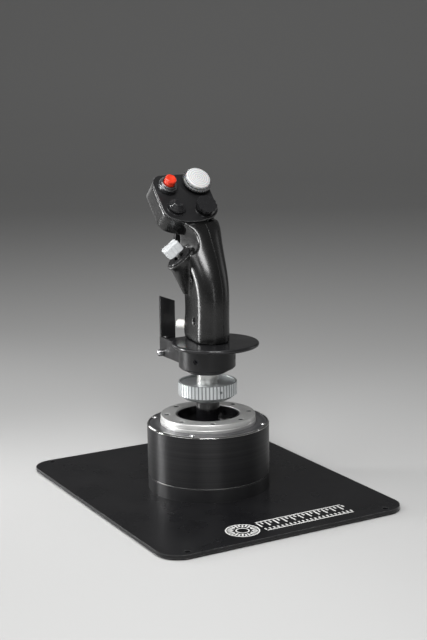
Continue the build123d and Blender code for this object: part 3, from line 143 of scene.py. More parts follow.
def edge_wear_and_highlight_mask(paint, place, width, low=0.03, high=0.25):
    """How pale an outside edge is painted, from 0 on the flat to 1 on the edge, in patches: edge wear, and
    on the floor plate and the face plate also a painted highlight.
    """
    eased = put(paint, "ShaderNodeBevel", width * mm, modes={"samples": 4}).outputs[0]
    plain = put(paint, "ShaderNodeNewGeometry").outputs["Normal"]
    turn = vector_step(paint, "DOT_PRODUCT", eased, plain)
    edge = spread(paint, turn.outputs["Value"], 1.0, 0.0, 1 - high, 1 - low)
    patch = spread(paint, grain(paint, place, 4.0), 0.35, 1.0, 0.35, 0.6)
    return worked(paint, "MULTIPLY", edge, patch)


def shaded(piece, angle):
    """Smooth over curves, and sharp along edges steeper than the angle."""
    for face in piece.data.polygons:
        face.use_smooth = True
    piece.data.set_sharp_from_angle(angle=math.radians(angle))


def shape_of(piece_name, *names):
    """A new piece with the shape of CAD nodes, its flat faces whole again."""
    work = bmesh.new()
    for name in names:
        work.from_mesh(nodes[name].data)
    bmesh.ops.remove_doubles(work, verts=work.verts, dist=2e-6)
    flat = math.radians(0.5)
    bmesh.ops.dissolve_limit(work, angle_limit=flat, verts=work.verts, edges=work.edges)
    mesh = bpy.data.meshes.new(piece_name)
    work.to_mesh(mesh)
    work.free()
    for extra in ("custom_normal", "sharp_edge", "sharp_face"):
        if extra in mesh.attributes:
            mesh.attributes.remove(mesh.attributes[extra])
    piece = bpy.data.objects.new(piece_name, mesh)
    bpy.context.collection.objects.link(piece)
    return piece


def eased(piece, radius, steps=2, angle=32):
    """Breaks the piece's sharp edges to a small radius in millimetres."""
    edge = piece.modifiers.new("eased_edges", "BEVEL")
    edge.width = radius * mm
    edge.segments = steps
    edge.limit_method = "ANGLE"
    edge.angle_limit = math.radians(angle)
    edge.harden_normals = True
    shaded(piece, angle)
    return piece


def fitted(piece, paint, *names):
    """Gives a piece its finish and puts it in the place of its CAD nodes."""
    piece.data.materials.clear()
    piece.data.materials.append(paint)
    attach(piece, nodes[names[0]]["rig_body"])
    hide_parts(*names)
    return piece


def coated(paint, *names):
    """Gives CAD nodes their finish as they are."""
    for name in names:
        for place in nodes[name].material_slots:
            place.material = paint


powder_coat = new_finish("black_powder_coat", (0.012, 0.012, 0.013), 0.45)
point = place_on(powder_coat)
pimples = grain(powder_coat, point, 0.55, 2.0)
cloud = grain(powder_coat, point, 38.0, 4.0)
lead(powder_coat, spread(powder_coat, cloud, 0.24, 0.34), "Roughness")
# The edges are painted pale grey in patches: partly edge wear, partly a painted highlight along the
# plate's edge.
edge_wear_and_highlight = edge_wear_and_highlight_mask(powder_coat, point, 0.8)
cloudy = spread(powder_coat, cloud, 0, 1)
coat_shade = mixed(powder_coat, cloudy, (0.008, 0.008, 0.009), (0.013, 0.013, 0.014))
lead(powder_coat, mixed(powder_coat, edge_wear_and_highlight, coat_shade, (0.22, 0.22, 0.22)), "Base Color")
relief(powder_coat, pimples, 0.008)
hold(powder_coat, "Specular IOR Level", 0.3)
floor_plate = eased(shape_of("floor_plate", "base_plate"), 0.5, 3)
fitted(floor_plate, powder_coat, "base_plate")

# ---- Printed scale on the plate ----
# White ink, screen printed near the rear edge: a ring of ticks beside a plain rule.
# The ink is a few hundredths of a millimetre thick.
ink = new_finish("white_ink", (0.72, 0.72, 0.70), 0.55)
point = place_on(ink)
lead(ink, spread(ink, grain(ink, point, 0.8), 0.45, 0.65), "Roughness")
worn_ink = spread(ink, grain(ink, point, 2.5, 5.0), 0, 1, 0.3, 0.45)
lead(ink, mixed(ink, worn_ink, (0.66, 0.66, 0.65), (0.84, 0.84, 0.82)), "Base Color")
plate_top = 4.5
ink_top = plate_top + 0.04
ink_depth = 0.06
tick_width = 1.5
ring_middle = (-35.0, -118.0)
ring_ticks = 24
ring_step = 360 / ring_ticks
rim_ticks = 60
rule_left = -17.0
rule_length = 84.0
rule_line = 1.3
rule_pitch = 4.0
rule_ticks = 22
upper_line = -108.6
lower_line = -128.4
upper_tick_top = -109.6
lower_tick_foot = -126.2
upper_reaches = (9.4, 4.2)
lower_reach = 3.2
marks = bmesh.new()


def inked(corners):
    """One flat patch of ink with the given corners, in millimetres."""
    top = [marks.verts.new((x * mm, y * mm, ink_top * mm)) for x, y in corners]
    low = [marks.verts.new((x * mm, y * mm, (ink_top - ink_depth) * mm)) for x, y in corners]
    marks.faces.new(top)
    marks.faces.new(low[::-1])
    for i in range(len(top)):
        j = (i + 1) % len(top)
        marks.faces.new((low[i], low[j], top[j], top[i]))


def bar(x, y, length, height):
    """A straight bar of ink, from its lower left corner."""
    inked(((x, y), (x + length, y), (x + length, y + height), (x, y + height)))


def tick(degrees, near, far):
    """A tick of ink on the ring, from one radius to another."""
    turn = math.radians(degrees)
    out = Vector((math.cos(turn), math.sin(turn)))
    side = Vector((-out.y, out.x)) * (tick_width / 2)
    middle = Vector(ring_middle)
    corners = (middle + out * near - side, middle + out * far - side, middle + out * far + side,
               middle + out * near + side)
    inked([tuple(corner) for corner in corners])


for step in range(ring_ticks):
    tick(ring_step * step, 8.6 if step % 2 else 7.4, 12.4)
for step in range(rim_ticks):
    tick(360 / rim_ticks * step, 13.0, 14.2)
for step in range(ring_ticks):
    tick(ring_step * step + ring_step / 2, 4.6, 5.8)
for line_y in (upper_line, lower_line):
    bar(rule_left, line_y, rule_length, rule_line)
tick_lefts = [rule_left + rule_pitch * step - tick_width / 2 for step in range(rule_ticks)]
for step, tick_left in enumerate(tick_lefts):
    reach = upper_reaches[step % 2]
    bar(tick_left, upper_tick_top - reach, tick_width, reach)
for tick_left in tick_lefts:
    bar(tick_left, lower_tick_foot, tick_width, lower_reach)
bmesh.ops.recalc_face_normals(marks, faces=marks.faces)
ink_mesh = bpy.data.meshes.new("printed_scale")
marks.to_mesh(ink_mesh)
marks.free()
printed_scale = bpy.data.objects.new("printed_scale", ink_mesh)
bpy.context.collection.objects.link(printed_scale)
ink_mesh.materials.append(ink)
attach(printed_scale, "base")

# ---- Feet and cord inlet ----
# Thin round pads of black rubber under the plate, and a moulded rubber inlet pressed
# into the back of the round base, where the cord goes in.
rubber = new_finish("black_rubber", (0.02, 0.02, 0.02), 0.75)
point = place_on(rubber)
lead(rubber, spread(rubber, grain(rubber, point, 1.4, 4.0), 0.62, 0.88), "Roughness")
relief(rubber, grain(rubber, point, 0.4), 0.02)
fitted(eased(shape_of("round_feet", "rubber_feet"), 0.35), rubber, "rubber_feet")
fitted(eased(shape_of("cord_inlet", "cable_inlet"), 0.3), rubber, "cable_inlet")

# ---- Black screws ----
# Steel screws with a black oxide finish and hexagon sockets, made by cold heading.
# The same finish is on every dark screw of the base, the bracket and the grip.
oxide = new_finish("black_oxide", (0.03, 0.03, 0.034), 0.34, 0.9)
point = place_on(oxide)
lead(oxide, spread(oxide, grain(oxide, point, 0.7), 0.26, 0.46), "Roughness")
edge_wear_and_highlight = edge_wear_and_highlight_mask(oxide, point, 0.15)
lead(oxide, mixed(oxide, edge_wear_and_highlight, (0.032, 0.032, 0.036), (0.22, 0.22, 0.23)), "Base Color")
for name, piece_name in (("base_screws", "screws_under_base"), ("clamp_ring_screws", "ring_screws"),
                         ("housing_set_screws", "neck_set_screws"), ("grip_bolts", "bolts_into_grip"),
                         ("shell_screws", "screws_in_shell"), ("stop_screws", "paddle_stop_screws")):
    fitted(eased(shape_of(piece_name, name), 0.12), oxide, name)

# ---- Round base: casting and band ----
# The foot of the base is cast and painted satin black. A turned bright band lies
# in the joint between it and the tube above.
casting_paint = new_finish("casting_black", (0.013, 0.013, 0.014), 0.38)
point = place_on(casting_paint)
cloud = grain(casting_paint, point, 12.0, 5.0)
lead(casting_paint, spread(casting_paint, cloud, 0.30, 0.46), "Roughness")
edge_wear_and_highlight = edge_wear_and_highlight_mask(casting_paint, point, 0.4)
lead(casting_paint, mixed(casting_paint, edge_wear_and_highlight, (0.013, 0.013, 0.014), (0.10, 0.10, 0.10)), "Base Color")
relief(casting_paint, grain(casting_paint, point, 1.1, 3.0), 0.012)
fitted(eased(shape_of("base_foot", "base_casting"), 0.4), casting_paint, "base_casting")


def turned_lines(paint, distance, pitch, seed=0.0):
    """Fine lines left by the lathe's tool, along a distance in millimetres."""
    along = worked(paint, "ADD", distance, seed)
    one_way = {"noise_dimensions": "1D"}
    return put(paint, "ShaderNodeTexNoise", modes=one_way, W=along, Scale=1 / pitch, Detail=2.0).outputs[0]


def height_of(paint, place):
    """How high a point of the piece is, in millimetres."""
    return put(paint, "ShaderNodeSeparateXYZ", place).outputs["Z"]


def radius_of(paint, place):
    """How far a point of the piece is from the base's axis, in millimetres."""
    flat = vector_step(paint, "MULTIPLY", place, (1, 1, 0)).outputs[0]
    return vector_step(paint, "LENGTH", flat).outputs["Value"]


bright_band = new_finish("bright_band", (0.70, 0.70, 0.69), 0.26, 1.0)
point = place_on(bright_band)
lines = turned_lines(bright_band, height_of(bright_band, point), 0.25)
lead(bright_band, spread(bright_band, lines, 0.3, 0.46), "Roughness")
relief(bright_band, lines, 0.01)
fitted(eased(shape_of("band_in_joint", "base_band"), 0.45, 4), bright_band, "base_band")

# ---- Round base: tube ----
# A thick tube turned from bar, black anodised, with the tool's lines showing around it.
# The top edge was cut again after anodising, so the chamfer and the land are bare and
# mirror bright.
tube_black = new_finish("turned_black", (0.012, 0.012, 0.013), 0.3, 0.25)
point = place_on(tube_black)
up = height_of(tube_black, point)
fine = turned_lines(tube_black, up, 0.7)
wide = turned_lines(tube_black, up, 3.2, 40.0)
both = worked(tube_black, "ADD", fine, wide)
bare_from = 61.7
bare = spread(tube_black, up, 0, 1, bare_from, bare_from + 0.25)
lined = spread(tube_black, fine, 0.36, 0.5)
mirror = 0.0
rough_mix = put(tube_black, "ShaderNodeMix", bare, A=lined, B=mirror)
lead(tube_black, rough_mix.outputs[0], "Roughness")
stripe = spread(tube_black, both, 0, 1, 0.7, 1.3)
shade = mixed(tube_black, stripe, (0.009, 0.009, 0.010), (0.020, 0.020, 0.021))
lead(tube_black, mixed(tube_black, bare, shade, (0.72, 0.72, 0.71)), "Base Color")
metal = spread(tube_black, bare, 0.2, 1.0, 0, 1)
lead(tube_black, metal, "Metallic")
relief(tube_black, both, 0.008)
around = put(tube_black, "ShaderNodeTangent", modes={"direction_type": "RADIAL", "axis": "Z"})
lead(tube_black, around.outputs[0], "Tangent")
hold(tube_black, "Specular IOR Level", 0.36)
hold(tube_black, "Anisotropic", 0.85)
hold(tube_black, "Anisotropic Rotation", 0.25)
fitted(eased(shape_of("base_tube", "housing_tube"), 0.12), tube_black, "housing_tube")

# ---- Round base: top disc and its screws ----
# A turned disc of dark grey aluminium sits in the tube's recess. Four bright round-head
# screws hold it down near its edge.
disc_grey = new_finish("disc_grey", (0.10, 0.10, 0.105), 0.4, 0.55)
point = place_on(disc_grey)
out = radius_of(disc_grey, point)
lines = turned_lines(disc_grey, out, 0.45)
lead(disc_grey, spread(disc_grey, lines, 0.30, 0.5), "Roughness")
shade = spread(disc_grey, turned_lines(disc_grey, out, 4.0, 9.0), 0, 1)
lead(disc_grey, mixed(disc_grey, shade, (0.085, 0.085, 0.09), (0.13, 0.13, 0.135)), "Base Color")
relief(disc_grey, lines, 0.012)
fitted(eased(shape_of("disc_in_tube", "top_disc"), 0.2), disc_grey, "top_disc")
zinc = new_finish("bright_zinc", (0.66, 0.66, 0.66), 0.24, 1.0)
point = place_on(zinc)
lead(zinc, spread(zinc, grain(zinc, point, 0.6), 0.16, 0.36), "Roughness")
relief(zinc, grain(zinc, point, 0.5), 0.008)
fitted(eased(shape_of("disc_screws", "top_disc_screws"), 0.3), zinc, "top_disc_screws")

# ---- Clamp ring ----
# A ring of aluminium, turned, bead blasted and clear anodised. It clamps the dust cup's
# lip and is held by a circle of socket screws sunk into it.
matt_silver = new_finish("matt_silver", (0.78, 0.78, 0.77), 0.42, 0.85)
point = place_on(matt_silver)
blast = grain(matt_silver, point, 0.35, 2.0)
tone = grain(matt_silver, point, 14.0, 4.0)
lead(matt_silver, spread(matt_silver, tone, 0.36, 0.48), "Roughness")
edge_wear_and_highlight = edge_wear_and_highlight_mask(matt_silver, point, 0.25)
toned = spread(matt_silver, tone, 0, 1)
silver_shade = mixed(matt_silver, toned, (0.72, 0.72, 0.71), (0.80, 0.80, 0.79))
lead(matt_silver, mixed(matt_silver, edge_wear_and_highlight, silver_shade, (0.9, 0.9, 0.9)), "Base Color")
relief(matt_silver, blast, 0.012)
fitted(eased(shape_of("ring_over_cup", "clamp_ring"), 0.3), matt_silver, "clamp_ring")

# ---- Dust cup and dome ----
# A cup of gloss black plastic fills the ring, and a dome on the stick slides under its
# throat as the stick tilts, so that nothing falls into the bearings.
gloss_black = new_finish("cup_gloss_black", (0.008, 0.008, 0.009), 0.12)
point = place_on(gloss_black)
lead(gloss_black, spread(gloss_black, grain(gloss_black, point, 7.0, 5.0), 0.08, 0.22), "Roughness")
relief(gloss_black, grain(gloss_black, point, 3.0), 0.01)
fitted(eased(shape_of("cup_in_ring", "dust_cup"), 0.3), gloss_black, "dust_cup")
fitted(eased(shape_of("dome_on_stick", "dust_dome"), 0.3), gloss_black, "dust_dome")

# ---- Gimbal, its springs and the sensor, inside the base ----
# Two pairs of pins in bronze bushes let the stick tilt both ways, and coils around
# them bring it back. A magnet below the stick turns over a small sensor board.
machined = new_finish("machined_alloy", (0.56, 0.56, 0.57), 0.34, 1.0)
point = place_on(machined)
lead(machined, spread(machined, grain(machined, point, 0.9, 4.0), 0.26, 0.46), "Roughness")
relief(machined, grain(machined, point, 0.5), 0.01)
coated(machined, "gimbal_yoke", "gimbal_ring", "magnet_holder")
bronze = new_finish("sintered_bronze", (0.50, 0.31, 0.14), 0.5, 0.9)
point = place_on(bronze)
lead(bronze, spread(bronze, grain(bronze, point, 0.3), 0.4, 0.65), "Roughness")
coated(bronze, "roll_bushes", "pitch_bushes")
wire = new_finish("spring_wire", (0.42, 0.42, 0.44), 0.3, 1.0)
point = place_on(wire)
lead(wire, spread(wire, grain(wire, point, 0.8), 0.22, 0.4), "Roughness")
coated(wire, "roll_springs", "pitch_springs")
nickel = new_finish("nickel", (0.62, 0.61, 0.58), 0.2, 1.0)
point = place_on(nickel)
lead(nickel, spread(nickel, grain(nickel, point, 1.0), 0.14, 0.3), "Roughness")
coated(nickel, "magnet")
board_green = new_finish("board_green", (0.02, 0.12, 0.05), 0.35)
point = place_on(board_green)
track = spread(board_green, grain(board_green, point, 2.2, 1.0), 0, 1, 0.49, 0.51)
lead(board_green, mixed(board_green, track, (0.015, 0.09, 0.035), (0.03, 0.17, 0.07)), "Base Color")
lead(board_green, spread(board_green, grain(board_green, point, 3.0), 0.28, 0.42), "Roughness")
coated(board_green, "sensor_board", "switch_board")
contact_black = new_finish("contact_block_black", (0.02, 0.02, 0.022), 0.5)
point = place_on(contact_black)
lead(contact_black, spread(contact_black, grain(contact_black, point, 0.7), 0.4, 0.6), "Roughness")
coated(contact_black, "connector_plug", "connector_socket", "trim_cross", "round_cross", "scallop_cross",
       "thumb_cross")

# ---- Stick shaft and pins ----
# A steel shaft, ground and polished, carries the grip. Ground steel pins make the
# pivots of the gimbal, the trigger and the paddle.
ground_steel = new_finish("ground_steel", (0.60, 0.60, 0.61), 0.2, 1.0)
point = place_on(ground_steel)
lines = turned_lines(ground_steel, height_of(ground_steel, point), 0.3)
lead(ground_steel, spread(ground_steel, lines, 0.14, 0.3), "Roughness")
relief(ground_steel, lines, 0.006)
fitted(eased(shape_of("polished_shaft", "stick_shaft"), 0.3), ground_steel, "stick_shaft")
fitted(eased(shape_of("paddle_pivot_screw", "paddle_pin"), 0.35), ground_steel, "paddle_pin")
coated(ground_steel, "gimbal_pins", "trigger_pin", "nut_washer")

# ---- Locking nut ----
# A hand nut of clear anodised aluminium with straight ribs milled around its rim, and
# a grub screw in its side. It pulls the grip's neck down onto the shaft.
nut_silver = new_finish("nut_silver", (0.78, 0.78, 0.77), 0.4, 0.8)
point = place_on(nut_silver)
tone = grain(nut_silver, point, 9.0, 4.0)
lead(nut_silver, spread(nut_silver, tone, 0.33, 0.47), "Roughness")
edge_wear_and_highlight = edge_wear_and_highlight_mask(nut_silver, point, 0.2)
nut_shade = mixed(nut_silver, spread(nut_silver, tone, 0, 1), (0.66, 0.69, 0.70), (0.76, 0.79, 0.80))
nut_edge = mixed(nut_silver, edge_wear_and_highlight, nut_shade, (0.92, 0.92, 0.92))
# Painted shade: the bottoms of the grooves between the ribs are painted dark grey.
from_axis = radius_of(nut_silver, point)
nut_radius = 25.9
inside = spread(nut_silver, from_axis, 1, 0, nut_radius - 0.4, nut_radius - 0.15)
outside = spread(nut_silver, from_axis, 0, 1, nut_radius - 0.8, nut_radius - 0.6)
groove_painted_shade = worked(nut_silver, "MULTIPLY", inside, outside)
lead(nut_silver, mixed(nut_silver, groove_painted_shade, nut_edge, (0.28, 0.29, 0.30)), "Base Color")
relief(nut_silver, grain(nut_silver, point, 0.35, 2.0), 0.01)
fitted(eased(shape_of("ribbed_nut", "locking_nut"), 0.2, 2, 40), nut_silver, "locking_nut")
neck_silver = new_finish("neck_silver", (0.74, 0.74, 0.72), 0.28, 1.0)
point = place_on(neck_silver)
lines = turned_lines(neck_silver, height_of(neck_silver, point), 0.4)
lead(neck_silver, spread(neck_silver, lines, 0.22, 0.4), "Roughness")
relief(neck_silver, lines, 0.01)
fitted(eased(shape_of("neck_tube", "grip_neck"), 0.25), neck_silver, "grip_neck")

# ---- Lower housing and its bracket ----
# A block of aluminium turned on its lower half and milled out in front into two ears
# for the paddle. It is bead blasted and black anodised.
anodised = new_finish("black_anodised", (0.014, 0.014, 0.015), 0.36, 0.2)
point = place_on(anodised)
tone = grain(anodised, point, 10.0, 5.0)
lead(anodised, spread(anodised, tone, 0.27, 0.42), "Roughness")
edge_wear_and_highlight = edge_wear_and_highlight_mask(anodised, point, 0.35)
lead(anodised, mixed(anodised, edge_wear_and_highlight, (0.013, 0.013, 0.014), (0.14, 0.14, 0.145)), "Base Color")
relief(anodised, grain(anodised, point, 0.5, 2.0), 0.01)
fitted(eased(shape_of("housing_and_bracket", "lower_housing"), 0.4), anodised, "lower_housing")

# ---- Paddle ----
# A thin curved blade of aluminium on a milled foot, pivoted between the bracket's ears
# and pulled by the little finger. It is black anodised, with its edges broken.
fitted(eased(shape_of("paddle_blade", "paddle_lever"), 0.3), anodised, "paddle_lever")

# ---- Hand rest ----
# A round plate under the hand, turned with a full round edge and painted satin black.
rest_paint = new_finish("satin_black_rest", (0.014, 0.014, 0.015), 0.3)
point = place_on(rest_paint)
tone = grain(rest_paint, point, 16.0, 5.0)
lead(rest_paint, spread(rest_paint, tone, 0.16, 0.28), "Roughness")
relief(rest_paint, grain(rest_paint, point, 0.7, 2.0), 0.004)
fitted(eased(shape_of("round_rest", "hand_rest"), 0.2), rest_paint, "hand_rest")

# ---- Grip shells ----
# The grip is cast in two halves that meet along a seam down its back, screwed together
# from the left and painted gloss black. Its forms run into each other in soft fillets.
grip_paint = new_finish("grip_gloss_black", (0.005, 0.005, 0.005), 0.22)
hold(grip_paint, "Specular IOR Level", 0.55)
hold(grip_paint, "Coat Weight", 0.12)
hold(grip_paint, "Coat Roughness", 0.16)
point = place_on(grip_paint)
tone = grain(grip_paint, point, 18.0, 5.0)
handled = grain(grip_paint, point, 2.5, 4.0)
dull = worked(grip_paint, "ADD", tone, handled)
lead(grip_paint, spread(grip_paint, dull, 0.24, 0.29, 0.7, 1.3), "Roughness")
seam_x = 3.0
across = put(grip_paint, "ShaderNodeSeparateXYZ", point).outputs["X"]
aside = worked(grip_paint, "SUBTRACT", across, seam_x)
apart = worked(grip_paint, "ABSOLUTE", aside)
seam_half = 0.6
groove = spread(grip_paint, apart, 0, 1, 0, seam_half)
skin = spread(grip_paint, grain(grip_paint, point, 1.6, 2.0), 0, 0.008, 0, 1)
raised = worked(grip_paint, "ADD", groove, skin)
relief(grip_paint, raised, 0.25)

whole = shape_of("grip_whole", "left_shell", "right_shell")
joined = whole.modifiers.new("one_skin", "REMESH")
joined.mode = "VOXEL"
joined.voxel_size = 0.62 * mm
soft = whole.modifiers.new("soft_fillets", "SMOOTH")
soft.factor = 0.5
soft.iterations = 28
seam_gap = 0.12
block_size = 400
halves = ((-1, "left_shell", "grip_left_half"), (1, "right_shell", "grip_right_half"))
for side, name, piece_name in halves:
    saw = bmesh.new()
    bmesh.ops.create_cube(saw, size=block_size * mm)
    shift = (seam_x + side * (block_size / 2 + seam_gap)) * mm
    bmesh.ops.translate(saw, verts=saw.verts, vec=(shift, 0, block_size / 2 * mm))
    block_mesh = bpy.data.meshes.new("saw_block")
    saw.to_mesh(block_mesh)
    saw.free()
    block = bpy.data.objects.new("saw_block", block_mesh)
    bpy.context.collection.objects.link(block)
    cut = whole.modifiers.new("seam_cut", "BOOLEAN")
    cut.operation = "INTERSECT"
    cut.solver = "MANIFOLD"
    cut.object = block
    seen = whole.evaluated_get(bpy.context.evaluated_depsgraph_get())
    half_mesh = bpy.data.meshes.new_from_object(seen)
    half_mesh.name = piece_name
    half = bpy.data.objects.new(piece_name, half_mesh)
    bpy.context.collection.objects.link(half)
    whole.modifiers.remove(cut)
    bpy.data.objects.remove(block)
    shaded(half, 50)
    fitted(half, grip_paint, name)
bpy.data.objects.remove(whole)

# ---- Face plate ----
# A flat plate of dark satin metal let into the head. Its edge is broken all round, and
# it is bored for the hats and the red button.
plate_satin = new_finish("face_satin", (0.02, 0.02, 0.021), 0.36, 0.3)
point = place_on(plate_satin)
brushed = vector_step(plate_satin, "MULTIPLY", point, (1, 0.06, 0.06)).outputs[0]
stroke = grain(plate_satin, brushed, 0.5, 3.0)
lead(plate_satin, spread(plate_satin, stroke, 0.28, 0.46), "Roughness")
# The broken edge is painted pale grey in patches all round: a painted highlight, partly edge wear.
edge_wear_and_highlight = edge_wear_and_highlight_mask(plate_satin, point, 0.8)
lead(plate_satin, mixed(plate_satin, edge_wear_and_highlight, (0.018, 0.018, 0.019), (0.6, 0.6, 0.6)), "Base Color")
relief(plate_satin, stroke, 0.006)
fitted(eased(shape_of("plate_on_head", "face_plate"), 0.7, 3), plate_satin, "face_plate")

# ---- Hats of the face ----
# Each hat is a moulded cap on a stem that tilts four ways in a collar pressed into the
# face plate: a white one, turned in fine rings, on a serrated silver flange, a stepped
# one and a lobed one.
hat_black = new_finish("moulded_black", (0.014, 0.014, 0.015), 0.34)
point = place_on(hat_black)
lead(hat_black, spread(hat_black, grain(hat_black, point, 3.0, 4.0), 0.18, 0.32), "Roughness")
edge_wear_and_highlight = edge_wear_and_highlight_mask(hat_black, point, 0.3)
lead(hat_black, mixed(hat_black, edge_wear_and_highlight, (0.014, 0.014, 0.015), (0.05, 0.05, 0.052)), "Base Color")
relief(hat_black, grain(hat_black, point, 0.5, 2.0), 0.005)
fitted(eased(shape_of("stepped_hat", "round_hat"), 0.3), hat_black, "round_hat")
fitted(eased(shape_of("lobed_hat", "scallop_hat"), 0.5, 3), hat_black, "scallop_hat")
fitted(eased(shape_of("stepped_hat_collar", "round_seat"), 0.2), hat_black, "round_seat")
fitted(eased(shape_of("lobed_hat_collar", "scallop_seat"), 0.2), hat_black, "scallop_seat")
fitted(eased(shape_of("trim_hat_collar", "trim_seat"), 0.2), hat_black, "trim_seat")
white = new_finish("moulded_white", (0.78, 0.78, 0.76), 0.4)
hold(white, "Subsurface Weight", 0.08)
hold(white, "Subsurface Scale", 0.5 * mm)
point = place_on(white)
tone = grain(white, point, 5.0, 4.0)
lead(white, spread(white, tone, 0.34, 0.5), "Roughness")
toned = spread(white, tone, 0, 1)
lead(white, mixed(white, toned, (0.64, 0.64, 0.62), (0.72, 0.72, 0.70)), "Base Color")
relief(white, grain(white, point, 0.5, 2.0), 0.012)
white_cap = white.copy()
white_cap.name = "ringed_white"
cap_middle = (10.0, 35.02, 269.42)
cap_axis = (0, -0.7314, 0.6820)
ring_turn = 3.2
point = place_on(white_cap)
offset = vector_step(white_cap, "SUBTRACT", point, cap_middle).outputs[0]
sideways = vector_step(white_cap, "CROSS_PRODUCT", offset, cap_axis).outputs[0]
away = vector_step(white_cap, "LENGTH", sideways).outputs["Value"]
turns = worked(white_cap, "MULTIPLY", away, ring_turn)
rings = worked(white_cap, "SINE", turns)
turned = spread(white_cap, rings, 0, 1, -1, 1)
# The rings are painted too: dark grey bands in the grooves as painted shade, and white on the crests.
lead(white_cap, mixed(white_cap, turned, (0.50, 0.51, 0.52), (0.74, 0.74, 0.73)), "Base Color")
relief(white_cap, turned, 0.10)
fitted(eased(shape_of("white_trim_cap", "trim_hat"), 0.4, 3), white_cap, "trim_hat")
fitted(eased(shape_of("white_low_button", "low_button"), 0.4, 3), white, "low_button")
bright_flange = new_finish("bright_flange", (0.62, 0.62, 0.62), 0.24, 1.0)
point = place_on(bright_flange)
lead(bright_flange, spread(bright_flange, grain(bright_flange, point, 0.8), 0.18, 0.34), "Roughness")
relief(bright_flange, grain(bright_flange, point, 0.4), 0.006)
flange = shape_of("serrated_flange", "trim_flange_ring")
fitted(eased(flange, 0.18), bright_flange, "trim_flange_ring")

# ---- Thumb hat ----
# A square hat of cast metal, painted white, with a notch in each side, on a cone that
# stands out of the grip. It tilts four ways and is also pressed in.
cast_white = new_finish("cast_white", (0.80, 0.81, 0.81), 0.5, 0.2)
point = place_on(cast_white)
tone = grain(cast_white, point, 4.0, 4.0)
lead(cast_white, spread(cast_white, tone, 0.42, 0.6), "Roughness")
toned = spread(cast_white, tone, 0, 1)
lead(cast_white, mixed(cast_white, toned, (0.58, 0.60, 0.61), (0.70, 0.72, 0.73)), "Base Color")
relief(cast_white, grain(cast_white, point, 1.2, 3.0), 0.05)
fitted(eased(shape_of("square_thumb_hat", "thumb_hat"), 0.6, 3), cast_white, "thumb_hat")
fitted(eased(shape_of("thumb_hat_stem", "thumb_stem"), 0.2), neck_silver, "thumb_stem")
fitted(eased(shape_of("thumb_hat_collar", "thumb_seat"), 0.25), hat_black, "thumb_seat")

# ---- Red button and its collar ----
# A red moulded cap slides in a turned collar of grey metal.
red = new_finish("moulded_red", (0.80, 0.045, 0.015), 0.3)
point = place_on(red)
tone = grain(red, point, 4.0, 4.0)
lead(red, spread(red, tone, 0.24, 0.4), "Roughness")
lead(red, mixed(red, spread(red, tone, 0, 1), (0.70, 0.035, 0.012), (0.83, 0.055, 0.02)), "Base Color")
relief(red, grain(red, point, 0.6, 2.0), 0.01)
fitted(eased(shape_of("red_cap", "red_button"), 0.5, 3), red, "red_button")
collar_grey = new_finish("collar_grey", (0.20, 0.205, 0.21), 0.3, 1.0)
point = place_on(collar_grey)
lead(collar_grey, spread(collar_grey, grain(collar_grey, point, 0.9, 4.0), 0.24, 0.36), "Roughness")
relief(collar_grey, grain(collar_grey, point, 0.4), 0.008)
fitted(eased(shape_of("red_cap_collar", "red_collar"), 0.3), collar_grey, "red_collar")

# ---- Trigger ----
# A curved lever of black anodised metal, hung from a pin across the head's floor.
fitted(eased(shape_of("curved_trigger", "trigger"), 0.7, 3), anodised, "trigger")

# ---- Floor, light and camera ----
# A pale sweep that curves up far behind. Large soft lamps stand high on the left and
# above, and small weak ones low around the object draw the edges of its dark pieces.
sweep_paint = new_finish("pale_sweep", (0.58, 0.58, 0.575), 0.9)
sweep = bmesh.new()
sweep_edges = (-5.0, 5.0)
sweep_line = [(-0.8, 0.0), (2.2, 0.0), (2.6, 0.03), (3.0, 0.15), (3.3, 0.4), (3.5, 0.8), (3.6, 1.4),
              (3.6, 5.0)]
rows = []
for y, z in sweep_line:
    rows.append([sweep.verts.new((x, y, z)) for x in sweep_edges])
for near, far in zip(rows, rows[1:]):
    sweep.faces.new((near[0], near[1], far[1], far[0]))
sweep_mesh = bpy.data.meshes.new("pale_sweep")
sweep.to_mesh(sweep_mesh)
sweep.free()
pale_sweep = bpy.data.objects.new("pale_sweep", sweep_mesh)
bpy.context.collection.objects.link(pale_sweep)
turn = math.radians(-29.24)
pale_sweep.rotation_euler = (0, 0, turn)
sweep_mesh.materials.append(sweep_paint)
for face in sweep_mesh.polygons:
    face.use_smooth = True

aim = Vector((0, 0, 0.14))
sight = Vector((-math.sin(turn), math.cos(turn), 0))
rightward = Vector((math.cos(turn), math.sin(turn), 0))


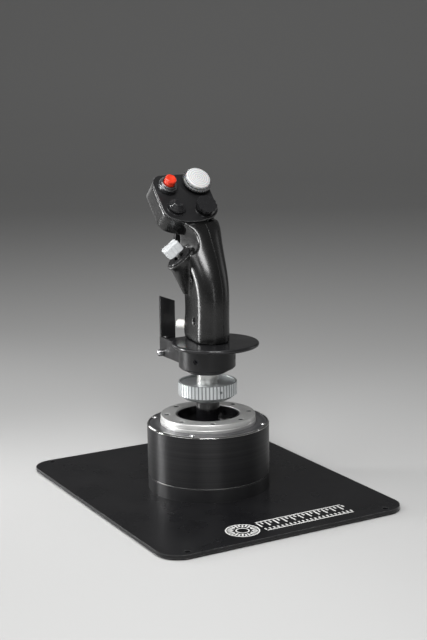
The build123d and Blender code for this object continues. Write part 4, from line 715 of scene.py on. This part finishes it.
def lamp(name, right, near, up, width, height, power, spread_angle=180):
    """A soft square lamp that faces the object, set out from it in metres."""
    light = bpy.data.lights.new(name, "AREA")
    light.shape = "RECTANGLE"
    light.size = width
    light.size_y = height
    light.energy = power
    light.spread = math.radians(spread_angle)
    stand = bpy.data.objects.new(name, light)
    bpy.context.collection.objects.link(stand)
    stand.location = rightward * right - sight * near + Vector((0, 0, up))
    stand.rotation_euler = (aim - stand.location).to_track_quat("-Z", "Y").to_euler()


lamp("left_strip", -0.62, -0.06, 0.19, 0.09, 0.36, 0.6, 70)
lamp("rear_left_lamp", -0.6, -0.62, 0.32, 0.3, 0.5, 0.22, 90)
lamp("front_strip", 0.24, 0.8, 0.25, 0.05, 0.4, 0.3)
lamp("front_lamp", -0.02, 0.68, 0.95, 0.42, 0.5, 10)
lamp("left_front_lamp", -0.8, 0.5, 0.75, 0.8, 0.4, 4)
lamp("right_lamp", 0.75, -0.3, 0.3, 0.3, 0.5, 0.08, 90)
lamp("top_lamp", -0.1, -0.5, 1.7, 1.0, 0.7, 4)

world = bpy.data.worlds.new("studio")
bpy.context.scene.world = world
world.use_nodes = True
soft_light = world.node_tree.nodes["Background"]
soft_light.inputs["Color"].default_value = (0.9, 0.9, 0.9, 1)
soft_light.inputs["Strength"].default_value = 0.12

camera_data = bpy.data.cameras.new("camera")
camera_data.sensor_fit = "VERTICAL"
camera_data.sensor_height = 36.0
camera_data.lens = 73.87
camera_data.clip_start = 0.05
camera = bpy.data.objects.new("camera", camera_data)
bpy.context.collection.objects.link(camera)
pitch = math.radians(11.33)
roll = math.radians(-0.79)
back = Vector((math.sin(turn) * math.cos(pitch), -math.cos(turn) * math.cos(pitch), math.sin(pitch)))
up = back.cross(rightward)
tilted_right = rightward * math.cos(roll) + up * math.sin(roll)
tilted_up = up * math.cos(roll) - rightward * math.sin(roll)
camera_place = Vector((-0.5437, -0.9836, 0.3789))
axes = Matrix((tilted_right, tilted_up, back)).transposed()
camera.matrix_world = Matrix.Translation(camera_place) @ axes.to_4x4()
bpy.context.scene.camera = camera
bpy.context.scene.view_settings.view_transform = "Standard"
